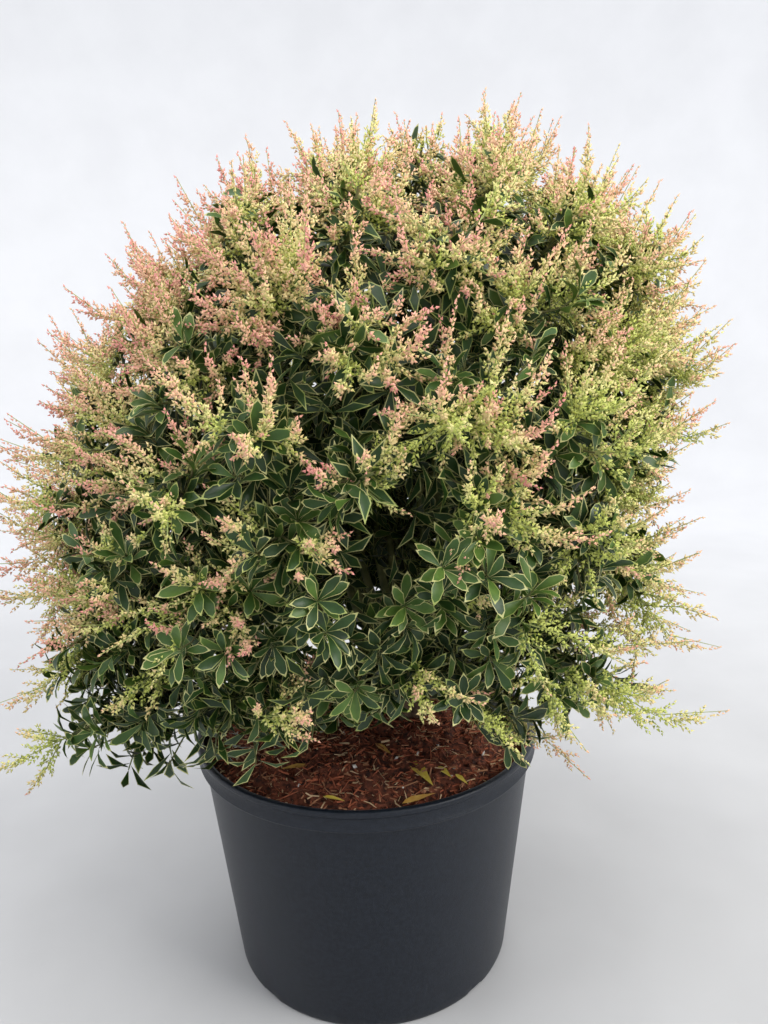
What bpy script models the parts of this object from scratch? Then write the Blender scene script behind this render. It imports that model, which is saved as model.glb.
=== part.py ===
"""Variegated pieris shrub in a round nursery pot, in metres, +Z up.

The origin is the centre of the pot's flat underside, and -Y is the plant's front. A short trunk
stands on the soil. Boughs leave it in rings, and each ends at the stem of one mass of foliage,
whose twigs carry leaves in whorls and end in toothed spires of blossom buds.
"""

import math
import random

import bmesh
import bpy
from mathutils import Euler, Vector
from mathutils.geometry import intersect_point_line

# Pot
POT_HEIGHT = 0.262
RIM_RADIUS = 0.188
BASE_RADIUS = 0.154
WALL = 0.0025
BODY_FLARE = 0.112  # metres outwards for each metre up
SKIRT_HEIGHT = 0.022
SKIRT_WALL = 0.0025
SKIRT_GROOVE = 0.007
RIM_ROUND = 0.003
LIP_WIDTH = 0.0075
FLOOR_TOP = 0.009
FOOT_WIDTH = 0.009
CHANNEL_INNER_RADIUS = 0.118
CHANNEL_HEIGHT = 0.005
SLOT_COUNT = 8
SLOT_WIDTH = 0.024
SLOT_HEIGHT = 0.0048
TURNED_STEPS = 32

# Soil
SOIL_TOP = 0.268
SOIL_EDGE = 0.243
SOIL_FLAT_RADIUS = 0.085
SOIL_SHOULDER_DROP = 0.009

GAP = 0.0003  # between pieces that meet

# Trunk
TRUNK_FOOT = Vector((0.055, 0.0, SOIL_TOP + GAP))
TRUNK_TIP = Vector((0.036, 0.004, 0.368))
TRUNK_FOOT_RADIUS = 0.0125
TRUNK_TIP_RADIUS = 0.0090
ROOT_FLARE = 0.006
ROOT_FLARE_HEIGHT = 0.018
ROOT_COUNT = 5
ROOT_RIDGE = 0.28
TRUNK_STATIONS = 8
TRUNK_SIDES = 10
LIMB_SHARP_DEGREES = 50

# Boughs
BOUGH_STATIONS = 6
BOUGH_SIDES = 6
BOUGH_RADIUS = 0.0046
BOUGH_TIP_RADIUS = 0.0034
BOUGH_LEAVE = 0.60  # share of the span over which a bough keeps its first heading
BOUGH_ARRIVE = 0.20
ARRIVE_OUTWARDS = 0.83  # how far a bough has turned to face outwards when it meets its mass
LEAVE_TURN = 0.59  # how far its first heading turns from its ring's azimuth to where it ends
STEM_LENGTH = 0.078
STEM_BEND_AT = 0.2  # share of the stem over which it follows its bough
STEM_TAPER = (1.0, 0.9, 0.7)

# Crown
CROWN_CENTRE = Vector((0.0, 0.0, 0.56))
CROWN_LEAN = 0.22  # metres sideways for each metre up
CROWN_REACH = 0.332
LOWEST_SINE = -0.84  # of a shoot's elevation from the crown's centre
HUB_DISTANCE = 0.185
CORE_RADIUS = 0.062
CORE_ROUGHNESS = 0.24
CORE_MARGIN = 0.003
CORE_STEP = 0.95  # by which a point of a core is drawn in until it lies in its space
CELL_MARGIN = 0.0015
LIMB_MARGIN = 0.0016
SAMPLING = 0.005  # between the points at which a piece is tested
OVER_POT_FLOOR = 0.290  # nothing in the crown hangs lower over the pot
OUTER_FLOOR = 0.205  # nor here beside it
FLOOR_SLOPE = 0.0564  # width over which the one turns into the other, out from the rim
SPUR_WIDTH = math.radians(19)

# Shoots
FLOWERING_SHARE = 0.92
SHOOT_COUNT = 118
SHOOT_BEND = 0.42
SHOOT_RISE = 0.34
SHOOT_SIDES = 3
SHOOT_RADIUS = 0.0024
NODE_RADIUS = 0.0040
LEAFY_REACH = 0.86
LOWEST_WHORL = 0.15  # share of the way along a shoot
WHORL_SPAN = 0.05  # share of the shoot over which its heading at the whorl is taken
REACH_SPREAD = 0.055
REACH_STEP = 0.97  # by which a shoot is shortened until it hangs over the crown's floor
LEAFY_TIP = 0.0198  # past the whorl of a shoot without a spire
SPIRE_LENGTHS = (0.070, 0.098)
SPIRE_TEETH = 2
SPIRE_RADIUS = 0.0105
SPIRE_TAPER = 0.5
SPIRE_WAIST = 0.42  # of the radius, between two teeth
WAIST_AT = 0.15  # share of a tooth's length
WIDEST_AT = 0.62

# Leaves, larger than life
LEAF_LENGTH = 0.066
LEAF_WIDTH = 0.025
LEAF_THICKNESS = 0.0013
LEAF_WIDEST = 0.62
LEAF_ARCH = 0.07
LEAF_DROOP = 0.16
LEAF_PITCH = math.radians(58)
PITCH_SHARES = (0.75, 1.15)
LENGTH_SHARES = (0.85, 1.12)
LEAF_SUNK = 0.0012  # past the twig's axis
LEAF_STEP = 0.0011  # along the twig from one leaf to the next
LEAVES_UNDER_SPIRE = 3
LEAVES_ON_LEAFY_SHOOT = 4
LEAF_TRIES = 4
GOLDEN_ANGLE = math.pi * (3 - math.sqrt(5))

# Rings of boughs: masses, middle azimuth, azimuth between masses and elevation from the crown's
# centre, then the height up the trunk as a share and the elevation at which the boughs leave it
RINGS = {
    "skirt": (5, 182, 70, -33, 0.35, 6),
    "side": (6, 188, 60, 2, 0.49, 29),
    "upper": (5, -30, 72, 43, 0.73, 46),
}

# Places where the crown reaches out: azimuth, elevation and added share of the reach
SPURS = {
    "low_left": (-48, -36, 0.17),
    "low_right": (52, -26, 0.20),
    "low_front_right": (40, -44, 0.12),
    "high_right": (66, 36, 0.05),
    "back_left": (-140, -20, 0.08),
    "back_right": (145, 10, 0.06),
}

# Directions with few spires of blossom: azimuth, elevation, width in degrees and share taken off
LEAFY_PLACES = {
    "front_low": (4, -20, 40, 0.75),
    "front_right_high": (24, 32, 20, 0.60),
    "left_patch": (-30, 26, 14, 0.60),
    "skirt_left": (-50, -42, 24, 0.55),
    "skirt_right": (48, -42, 24, 0.60),
    "skirt_back": (180, -42, 60, 0.55),
}

# The open window in front, through which the stems show: azimuth, elevation and its half widths
WINDOW = (3, -20, 11, 15)


def heading(azimuth, elevation):
    """Unit vector, for degrees of azimuth from the front towards +X and degrees up."""
    turn = math.radians(azimuth)
    lift = math.radians(elevation)
    return Vector(
        (
            math.sin(turn) * math.cos(lift),
            -math.cos(turn) * math.cos(lift),
            math.sin(lift),
        )
    )


def crown_point(direction, distance):
    """Point of the leaning crown at a distance from its centre."""
    offset = direction * distance
    return CROWN_CENTRE + offset + Vector((CROWN_LEAN * offset.z, 0, 0))


def crown_reach(direction):
    """Distance from the crown's centre to its outermost tips."""
    reach = CROWN_REACH
    for azimuth, elevation, share in SPURS.values():
        away = direction.angle(heading(azimuth, elevation)) / SPUR_WIDTH
        reach += CROWN_REACH * share * math.exp(-away * away)
    return reach


def crown_floor(point):
    """Height under which nothing hangs at this place."""
    outwards = (math.hypot(point.x, point.y) - RIM_RADIUS) / FLOOR_SLOPE
    share = min(1.0, max(0.0, outwards))
    return OVER_POT_FLOOR + share * (OUTER_FLOOR - OVER_POT_FLOOR)


def in_window(direction):
    """Whether a direction from the crown's centre lies in the open window."""
    azimuth, elevation, half_width, half_height = WINDOW
    turn = math.degrees(math.atan2(direction.x, -direction.y)) - azimuth
    lift = math.degrees(math.asin(direction.z)) - elevation
    return math.hypot(turn / half_width, lift / half_height) < 1


def flower_share(direction):
    """Chance that a shoot in this direction ends in a spire."""
    share = FLOWERING_SHARE
    for azimuth, elevation, width, taken in LEAFY_PLACES.values():
        away = direction.angle(heading(azimuth, elevation)) / math.radians(width)
        share -= taken * math.exp(-away * away)
    return share


def bezier(start, leave, arrive, end, steps):
    """Points along a cubic curve, both ends included."""
    points = []
    for i in range(steps + 1):
        t = i / steps
        s = 1 - t
        points.append(
            start * s**3 + leave * 3 * s * s * t + arrive * 3 * s * t * t + end * t**3
        )
    return points


def material(name, colour, roughness, metallic=0.0):
    made = bpy.data.materials.new(name)
    made.use_nodes = True
    shader = made.node_tree.nodes["Principled BSDF"]
    shader.inputs["Base Color"].default_value = (*colour, 1.0)
    shader.inputs["Roughness"].default_value = roughness
    shader.inputs["Metallic"].default_value = metallic
    made.diffuse_color = (*colour, 1.0)
    return made


def mesh_object(name, bm, collection, materials):
    mesh = bpy.data.meshes.new(name)
    bm.to_mesh(mesh)
    bm.free()
    for slot in materials:
        mesh.materials.append(slot)
    made = bpy.data.objects.new(name, mesh)
    collection.objects.link(made)
    return made


def shade_round(made, sharp_degrees=35):
    made.data.shade_smooth()
    made.data.set_sharp_from_angle(angle=math.radians(sharp_degrees))


def turned(name, profile, collection, finish):
    """Solid of revolution whose profile starts and ends on the Z axis."""
    bm = bmesh.new()
    points = [bm.verts.new((radius, 0, height)) for radius, height in profile]
    for first, second in zip(points, points[1:]):
        bm.edges.new((first, second))
    made = mesh_object(name, bm, collection, [finish])
    screw = made.modifiers.new("turn", "SCREW")
    screw.steps = TURNED_STEPS
    screw.render_steps = TURNED_STEPS
    screw.use_merge_vertices = True
    screw.merge_threshold = 0.00001
    return made


def body_radius(height):
    """Outer radius of the pot's wall under its skirt."""
    return BASE_RADIUS + BODY_FLARE * height


def make_pot(collection, cutters, finish):
    crest = POT_HEIGHT
    skirt_foot = POT_HEIGHT - SKIRT_HEIGHT
    groove_top = skirt_foot + SKIRT_GROOVE
    inner_lip = RIM_RADIUS - LIP_WIDTH
    foot_inner = BASE_RADIUS - FOOT_WIDTH
    profile = [
        (0, FLOOR_TOP),
        (body_radius(FLOOR_TOP) - WALL - RIM_ROUND, FLOOR_TOP),
        (body_radius(FLOOR_TOP) - WALL, FLOOR_TOP + RIM_ROUND),
        (body_radius(skirt_foot) - WALL, skirt_foot),
        (inner_lip, crest - RIM_ROUND),
        (inner_lip + RIM_ROUND * 0.7, crest),
        (RIM_RADIUS - RIM_ROUND * 0.8, crest),
        (RIM_RADIUS, crest - RIM_ROUND),
        (RIM_RADIUS - RIM_ROUND, skirt_foot),
        (RIM_RADIUS - RIM_ROUND - SKIRT_WALL, skirt_foot),
        (body_radius(groove_top), groove_top),
        (body_radius(RIM_ROUND), RIM_ROUND),
        (BASE_RADIUS - RIM_ROUND * 0.6, 0),
        (foot_inner, 0),
        (foot_inner - CHANNEL_HEIGHT, CHANNEL_HEIGHT),
        (CHANNEL_INNER_RADIUS + CHANNEL_HEIGHT, CHANNEL_HEIGHT),
        (CHANNEL_INNER_RADIUS, 0),
        (0, 0),
    ]
    pot = turned("pot", profile, collection, finish)

    bm = bmesh.new()
    for i in range(SLOT_COUNT):
        turn = 2 * math.pi * i / SLOT_COUNT
        made = bmesh.ops.create_cube(bm, size=1)
        bmesh.ops.scale(
            bm,
            vec=(FOOT_WIDTH * 3, SLOT_WIDTH, SLOT_HEIGHT * 2),
            verts=made["verts"],
        )
        bmesh.ops.translate(bm, vec=(BASE_RADIUS, 0, 0), verts=made["verts"])
        bmesh.ops.rotate(
            bm, cent=(0, 0, 0), matrix=Euler((0, 0, turn)).to_matrix(), verts=made["verts"]
        )
    cutter = mesh_object("foot_slot_cutter", bm, cutters, [])
    cut = pot.modifiers.new("foot slots", "BOOLEAN")
    cut.operation = "DIFFERENCE"
    cut.object = cutter
    shade_round(pot)
    return pot


def make_soil(collection, finish):
    bottom = FLOOR_TOP + GAP
    profile = [
        (0, SOIL_TOP),
        (SOIL_FLAT_RADIUS, SOIL_TOP),
        ((SOIL_FLAT_RADIUS + RIM_RADIUS) / 2, SOIL_TOP - SOIL_SHOULDER_DROP),
        (body_radius(SOIL_EDGE) - WALL - GAP * 2, SOIL_EDGE),
        (body_radius(bottom + RIM_ROUND) - WALL - GAP * 2, bottom + RIM_ROUND),
        (body_radius(bottom) - WALL - RIM_ROUND - GAP * 2, bottom),
        (0, bottom),
    ]
    soil = turned("soil", profile, collection, finish)
    shade_round(soil)
    return soil


def limb(name, path, radii, sides, collection, finish):
    """Mesh of a tapering round limb along a path, with flat ends."""
    curve = bpy.data.curves.new(name + "_path", "CURVE")
    curve.dimensions = "3D"
    curve.bevel_depth = 1.0
    curve.bevel_resolution = (sides - 4) // 2
    curve.use_fill_caps = True
    spline = curve.splines.new("POLY")
    spline.points.add(len(path) - 1)
    for point, place, radius in zip(spline.points, path, radii):
        point.co = (*place, 1.0)
        point.radius = radius
    guide = bpy.data.objects.new(name + "_path", curve)
    collection.objects.link(guide)
    bpy.context.view_layer.update()
    seen = guide.evaluated_get(bpy.context.evaluated_depsgraph_get())
    mesh = bpy.data.meshes.new_from_object(seen)
    mesh.name = name
    bm = bmesh.new()
    bm.from_mesh(mesh)
    bmesh.ops.remove_doubles(bm, verts=bm.verts, dist=0.00001)
    bmesh.ops.recalc_face_normals(bm, faces=bm.faces)
    bm.to_mesh(mesh)
    bm.free()
    mesh.materials.clear()
    mesh.materials.append(finish)
    made = bpy.data.objects.new(name, mesh)
    made.matrix_world = guide.matrix_world
    collection.objects.link(made)
    bpy.data.objects.remove(guide)
    bpy.data.curves.remove(curve)
    return made


def trunk_axis(share):
    """Point of the trunk's axis, which leaves the soil upright and then leans."""
    foot = TRUNK_FOOT
    lean = TRUNK_TIP - TRUNK_FOOT
    return foot + Vector((lean.x * share**1.6, lean.y * share**1.6, lean.z * share))


def trunk_radius(share):
    taper = TRUNK_FOOT_RADIUS + (TRUNK_TIP_RADIUS - TRUNK_FOOT_RADIUS) * share
    height = share * (TRUNK_TIP.z - TRUNK_FOOT.z)
    return taper + ROOT_FLARE * math.exp(-height / ROOT_FLARE_HEIGHT * 2)


def make_trunk(collection, finish, name="trunk", grown=0.0):
    """The trunk, or the same shape grown by a clearance for cutting what meets it."""
    shares = [(i / TRUNK_STATIONS) ** 1.3 for i in range(TRUNK_STATIONS + 1)]
    path = [trunk_axis(share) for share in shares]
    if grown:
        path[0] = path[0] - Vector((0, 0, grown))
        path[-1] = path[-1] + (path[-1] - path[-2]).normalized() * grown
    radii = [trunk_radius(share) + grown for share in shares]
    trunk = limb(name, path, radii, TRUNK_SIDES, collection, finish)
    for vertex in trunk.data.vertices:
        rise = vertex.co.z - TRUNK_FOOT.z
        axis = trunk_axis(max(0.0, rise / (TRUNK_TIP.z - TRUNK_FOOT.z)))
        outwards = Vector((vertex.co.x - axis.x, vertex.co.y - axis.y, 0))
        turn = math.atan2(outwards.y, outwards.x)
        fade = math.exp(-max(0.0, rise) / ROOT_FLARE_HEIGHT)
        vertex.co += outwards * ROOT_RIDGE * fade * math.cos(ROOT_COUNT * turn)
        if rise < GAP:
            vertex.co.z = TRUNK_FOOT.z - grown
    shade_round(trunk, LIMB_SHARP_DEGREES)
    return trunk


def azimuth_of(way):
    return math.degrees(math.atan2(way.x, -way.y))


def plan_masses():
    """Each mass's name, the hub that its twigs spread from, and its bough's path."""
    plans = []
    for ring, (count, middle, apart, elevation, share, leave) in RINGS.items():
        for i in range(count):
            azimuth = middle + (i - (count - 1) / 2) * apart
            outwards = heading(azimuth, elevation)
            hub = crown_point(outwards, HUB_DISTANCE)
            start = trunk_axis(share)
            end, arrive = bough_end(hub, outwards, start)
            turn = (azimuth_of(end - start) - azimuth + 180) % 360 - 180
            first = heading(azimuth + LEAVE_TURN * turn, leave)
            plans.append((f"{ring}_{i + 1}", hub, bough_path(start, first, arrive, end)))
    outwards = heading(0, 90)
    hub = crown_point(outwards, HUB_DISTANCE)
    first = (trunk_axis(1.0) - trunk_axis(0.9)).normalized()
    start = trunk_axis(1.0) - first * GAP * 4
    end, arrive = bough_end(hub, outwards, start)
    plans.append(("top_1", hub, bough_path(start, first, arrive, end)))
    return plans


def bough_end(hub, outwards, start):
    """Where a bough meets its mass's stem, and its heading there."""
    straight = (hub - start).normalized()
    arrive = (straight * (1 - ARRIVE_OUTWARDS) + outwards * ARRIVE_OUTWARDS).normalized()
    return hub - arrive * STEM_LENGTH, arrive


def bough_path(start, first, arrive, end):
    """Points of a bough from inside the trunk to the foot of its mass's stem."""
    span = (end - start).length
    leave = start + first * span * BOUGH_LEAVE
    enter = end - arrive * span * BOUGH_ARRIVE
    return bezier(start, leave, enter, end, BOUGH_STATIONS - 1)


def cut_clear(made, cutters):
    """Takes the cutters' shapes off an object and keeps its largest body."""
    for cutter in cutters:
        cut = made.modifiers.new("clear", "BOOLEAN")
        cut.operation = "DIFFERENCE"
        cut.solver = "MANIFOLD"
        cut.object = cutter
    apply_modifiers(made)
    keep_main_body(made)


def apply_modifiers(made):
    bpy.context.view_layer.update()
    seen = made.evaluated_get(bpy.context.evaluated_depsgraph_get())
    mesh = bpy.data.meshes.new_from_object(seen)
    made.modifiers.clear()
    old = made.data
    made.data = mesh
    mesh.name = made.name
    bpy.data.meshes.remove(old)


def keep_main_body(made):
    """Drops loose scraps and fills sealed hollows, so that one closed body is left."""
    bm = bmesh.new()
    bm.from_mesh(made.data)
    left = set(bm.faces)
    bodies = []
    while left:
        body = []
        front = [left.pop()]
        while front:
            face = front.pop()
            body.append(face)
            for edge in face.edges:
                for other in edge.link_faces:
                    if other in left:
                        left.remove(other)
                        front.append(other)
        bodies.append(body)
    bodies.sort(key=len)
    for body in bodies[:-1]:
        bmesh.ops.delete(bm, geom=body, context="FACES")
    bm.to_mesh(made.data)
    bm.free()


def room_in_cell(point, hub, hubs):
    """Distance to the nearest of the planes that part a mass's space from the others'."""
    room = math.inf
    for other in hubs:
        if other != hub:
            apart = other - hub
            room = min(room, (hub + apart * 0.5 - point).dot(apart.normalized()))
    return room


def limb_clearance(point, limbs):
    """Distance from a point to the surface of the nearest limb."""
    nearest = math.inf
    for path, radii in limbs:
        for i in range(len(path) - 1):
            span = (path[i + 1] - path[i]).length
            if (point - path[i]).length > nearest + span + radii[i]:
                continue
            foot, share = intersect_point_line(point, path[i], path[i + 1])
            share = min(1.0, max(0.0, share))
            axis = path[i].lerp(path[i + 1], share)
            radius = radii[i] + (radii[i + 1] - radii[i]) * share
            nearest = min(nearest, (point - axis).length - radius)
    return nearest


def spun_loft(path, radii, sides):
    """Mesh of rings along a path, each turned by half a side against the last. Radius 0 ends it."""
    bm = bmesh.new()
    tangent = (path[1] - path[0]).normalized()
    across = tangent.orthogonal().normalized()
    last = None
    for i, (place, radius) in enumerate(zip(path, radii)):
        ahead = (path[min(i + 1, len(path) - 1)] - path[max(i - 1, 0)]).normalized()
        across.rotate(tangent.rotation_difference(ahead))
        tangent = ahead
        if radius == 0:
            tip = bm.verts.new(place)
            for side in range(sides):
                bm.faces.new((last[side], last[(side + 1) % sides], tip))
            return bm
        other = tangent.cross(across)
        ring = []
        for side in range(sides):
            turn = 2 * math.pi * (side + 0.5 * (i % 2)) / sides
            spoke = across * math.cos(turn) + other * math.sin(turn)
            ring.append(bm.verts.new(place + spoke * radius))
        if last is None:
            bm.faces.new(ring[::-1])
        elif i % 2:
            for side in range(sides):
                after = (side + 1) % sides
                bm.faces.new((last[side], last[after], ring[side]))
                bm.faces.new((last[after], ring[after], ring[side]))
        else:
            for side in range(sides):
                after = (side + 1) % sides
                bm.faces.new((last[side], ring[after], ring[side]))
                bm.faces.new((last[side], last[after], ring[after]))
        last = ring
    bm.faces.new(last)
    return bm


def leaf_points(root, along, flat, length, width):
    """A leaf's arched outline: root, tip, both edges, and the middle of its two faces."""
    side = along.cross(flat).normalized()
    widest = root + along * length * LEAF_WIDEST + flat * length * LEAF_ARCH
    tip = root + along * length - flat * length * LEAF_DROOP
    half = side * width / 2
    thick = flat * LEAF_THICKNESS / 2
    return root, tip, widest + half, widest - half, widest + thick, widest - thick


def leaf_mesh(points):
    """A squashed octahedron through the leaf's six points."""
    root, tip, right, left, top, under = points
    bm = bmesh.new()
    bmesh.ops.create_uvsphere(bm, u_segments=4, v_segments=2, radius=1)
    for vertex in bm.verts:
        x, y, z = (round(value) for value in vertex.co)
        place = {
            (0, 0, -1): root,
            (0, 0, 1): tip,
            (1, 0, 0): left,
            (-1, 0, 0): right,
            (0, 1, 0): top,
            (0, -1, 0): under,
        }[(x, y, z)]
        vertex.co = place
    if bm.calc_volume(signed=True) < 0:
        bmesh.ops.reverse_faces(bm, faces=bm.faces)
    return bm


def all_shoots():
    """Number and direction of each shoot, in an even spiral round the crown from the top down."""
    for k in range(SHOOT_COUNT):
        sine = 1 - (1 - LOWEST_SINE) * (k + 0.5) / SHOOT_COUNT
        level = math.sqrt(1 - sine * sine)
        turn = k * GOLDEN_ANGLE
        direction = Vector((math.sin(turn) * level, -math.cos(turn) * level, sine))
        if not in_window(direction):
            yield k, direction


def shoot_line(hub, direction, reach, rise):
    """A shoot's bent axis, which turns upwards by its rise: its start, its bend and its tip."""
    tip = crown_point(direction, reach)
    while tip.z < crown_floor(tip) and reach > HUB_DISTANCE:
        reach *= REACH_STEP
        tip = crown_point(direction, reach)
    if rise == 0:
        return hub, hub.lerp(tip, 0.5), tip
    final = (direction + Vector((0, 0, rise))).normalized()
    bend = tip - final * (tip - hub).length * SHOOT_BEND
    return hub, bend, tip


def on_line(line, share):
    start, bend, tip = line
    rest = 1 - share
    return start * rest * rest + bend * 2 * rest * share + tip * share * share


class Shoot:
    """One shoot of a mass, by rules seeded with its number: a twig, its leaves and any spire."""

    def __init__(self, number, direction, hub):
        dice = random.Random(number)
        self.flowering = dice.random() < flower_share(direction)
        spread = 1 + dice.uniform(-REACH_SPREAD, REACH_SPREAD)
        self.spire = dice.uniform(*SPIRE_LENGTHS)
        self.first_turn = dice.uniform(0, 2 * math.pi)
        self.dice = dice
        self.hub = hub
        self.direction = direction
        self.reach = crown_reach(direction) * spread * (1 if self.flowering else LEAFY_REACH)
        self.bend(SHOOT_RISE)

    def bend(self, rise):
        """Sets the shoot's axis and the place of its whorl of leaves."""
        self.line = shoot_line(self.hub, self.direction, self.reach, rise)
        span = (self.line[2] - self.hub).length
        bare = self.spire if self.flowering else LEAFY_TIP
        self.node = max(LOWEST_WHORL, 1 - bare / span)

    def twig(self):
        """Path and radii of the twig, with its spire's teeth."""
        stations = [(0.0, SHOOT_RADIUS), (self.node, NODE_RADIUS)]
        if self.flowering:
            tooth_share = (1 - self.node) / SPIRE_TEETH
            for tooth in range(SPIRE_TEETH):
                size = SPIRE_RADIUS * (1 - SPIRE_TAPER * tooth / SPIRE_TEETH)
                start = self.node + tooth_share * tooth
                if tooth:
                    stations.append((start + tooth_share * WAIST_AT, size * SPIRE_WAIST))
                stations.append((start + tooth_share * WIDEST_AT, size))
        stations.append((1.0, 0))
        path = [on_line(self.line, share) for share, radius in stations]
        return path, [radius for share, radius in stations]

    def leaves(self, accept):
        """Outlines of the whorl's leaves, each turned on until it is accepted or left out."""
        ahead = on_line(self.line, min(1.0, self.node + WHORL_SPAN))
        axis = (ahead - on_line(self.line, self.node - WHORL_SPAN)).normalized()
        across = axis.orthogonal().normalized()
        other = axis.cross(across)
        count = LEAVES_UNDER_SPIRE if self.flowering else LEAVES_ON_LEAFY_SHOOT
        outlines = []
        for i in range(count):
            pitch = LEAF_PITCH * self.dice.uniform(*PITCH_SHARES)
            length = LEAF_LENGTH * self.dice.uniform(*LENGTH_SHARES)
            for attempt in range(LEAF_TRIES):
                turn = self.first_turn + i * GOLDEN_ANGLE + attempt * math.pi / LEAF_TRIES
                spoke = across * math.cos(turn) + other * math.sin(turn)
                along = axis * math.cos(pitch) + spoke * math.sin(pitch)
                flat = axis * math.sin(pitch) - spoke * math.cos(pitch)
                root = on_line(self.line, self.node) - spoke * LEAF_SUNK - axis * LEAF_STEP * i
                outline = leaf_points(root, along, flat, length, LEAF_WIDTH)
                if accept(outline):
                    outlines.append(outline)
                    break
        return outlines


def in_space(point, hub, hubs, margin):
    """Whether a point lies in the mass's space and over the crown's floor."""
    if point.z < crown_floor(point) + margin:
        return False
    return room_in_cell(point, hub, hubs) > CELL_MARGIN + margin


def fits(points, hub, hubs, limbs, margin):
    """Whether a piece's points all lie in the mass's space and off the limbs."""
    for point in points:
        if not in_space(point, hub, hubs, margin):
            return False
        if limb_clearance(point, limbs) < LIMB_MARGIN + margin:
            return False
    return True


def along_edge(first, second):
    """Points no further apart than the sampling distance, both ends included."""
    steps = max(1, math.ceil((second - first).length / SAMPLING))
    return [first.lerp(second, i / steps) for i in range(steps + 1)]


def twig_fits(shoot, hub, hubs, limbs):
    path, radii = shoot.twig()
    samples = []
    for first, second in zip(path, path[1:]):
        samples += along_edge(first, second)
    return fits(samples, hub, hubs, limbs, SHOOT_RADIUS * 1.5)


def leaf_fits(outline, hub, hubs, limbs):
    root, tip, right, left = outline[:4]
    samples = along_edge(right, left)
    for edge_point in (right, left, root.lerp(tip, LEAF_WIDEST)):
        samples += along_edge(root, edge_point) + along_edge(edge_point, tip)
    return fits(samples, hub, hubs, limbs, LEAF_THICKNESS)


def make_core(name, hub, hubs, limbs, clearances, collection, materials):
    """The dense inside of a mass: a rough ball held inside its space and cut clear of limbs."""
    dice = random.Random(name)
    bm = bmesh.new()
    bmesh.ops.create_icosphere(bm, subdivisions=2, radius=1)
    for vertex in bm.verts:
        outwards = vertex.co.normalized()
        distance = CORE_RADIUS * (1 + dice.uniform(-CORE_ROUGHNESS, CORE_ROUGHNESS))
        while not in_space(hub + outwards * distance, hub, hubs, CORE_MARGIN):
            distance *= CORE_STEP
        vertex.co = hub + outwards * distance
    core = mesh_object(name + "_core", bm, collection, materials)
    cutters = []
    for (path, radii), clearance in zip(limbs, clearances):
        if limb_clearance(hub, [(path, radii)]) < CORE_RADIUS * (1 + CORE_ROUGHNESS):
            cutters.append(clearance)
    cut_clear(core, cutters)
    return core


def make_mass(name, hub, stem, shoots, hubs, limbs, clearances, collection, materials):
    """One mass: stem, core, twigs, spires and leaves, joined into one body."""
    pieces = bpy.data.collections.new(name + "_pieces")
    bpy.context.scene.collection.children.link(pieces)
    stem_path, stem_radii = stem
    mass = mesh_object(
        name, spun_loft(stem_path, stem_radii, BOUGH_SIDES), collection, materials
    )
    make_core(name, hub, hubs, limbs, clearances, pieces, materials)
    for k, direction in shoots:
        shoot = Shoot(k, direction, hub)
        if not twig_fits(shoot, hub, hubs, limbs):
            shoot.bend(0)
            if not twig_fits(shoot, hub, hubs, limbs):
                continue
        path, radii = shoot.twig()
        bm = spun_loft(path, radii, SHOOT_SIDES)
        twig = mesh_object(f"{name}_twig_{k}", bm, pieces, materials)
        for polygon in twig.data.polygons:
            polygon.material_index = 1 if shoot.flowering else 0
        for i, outline in enumerate(
            shoot.leaves(lambda outline: leaf_fits(outline, hub, hubs, limbs))
        ):
            mesh_object(f"{name}_leaf_{k}_{i}", leaf_mesh(outline), pieces, materials)
    join = mass.modifiers.new("join", "BOOLEAN")
    join.operation = "UNION"
    join.operand_type = "COLLECTION"
    join.collection = pieces
    join.solver = "MANIFOLD"
    apply_modifiers(mass)
    keep_main_body(mass)
    for piece in list(pieces.objects):
        used = piece.data
        bpy.data.objects.remove(piece)
        bpy.data.meshes.remove(used)
    bpy.data.collections.remove(pieces)
    return mass


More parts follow.
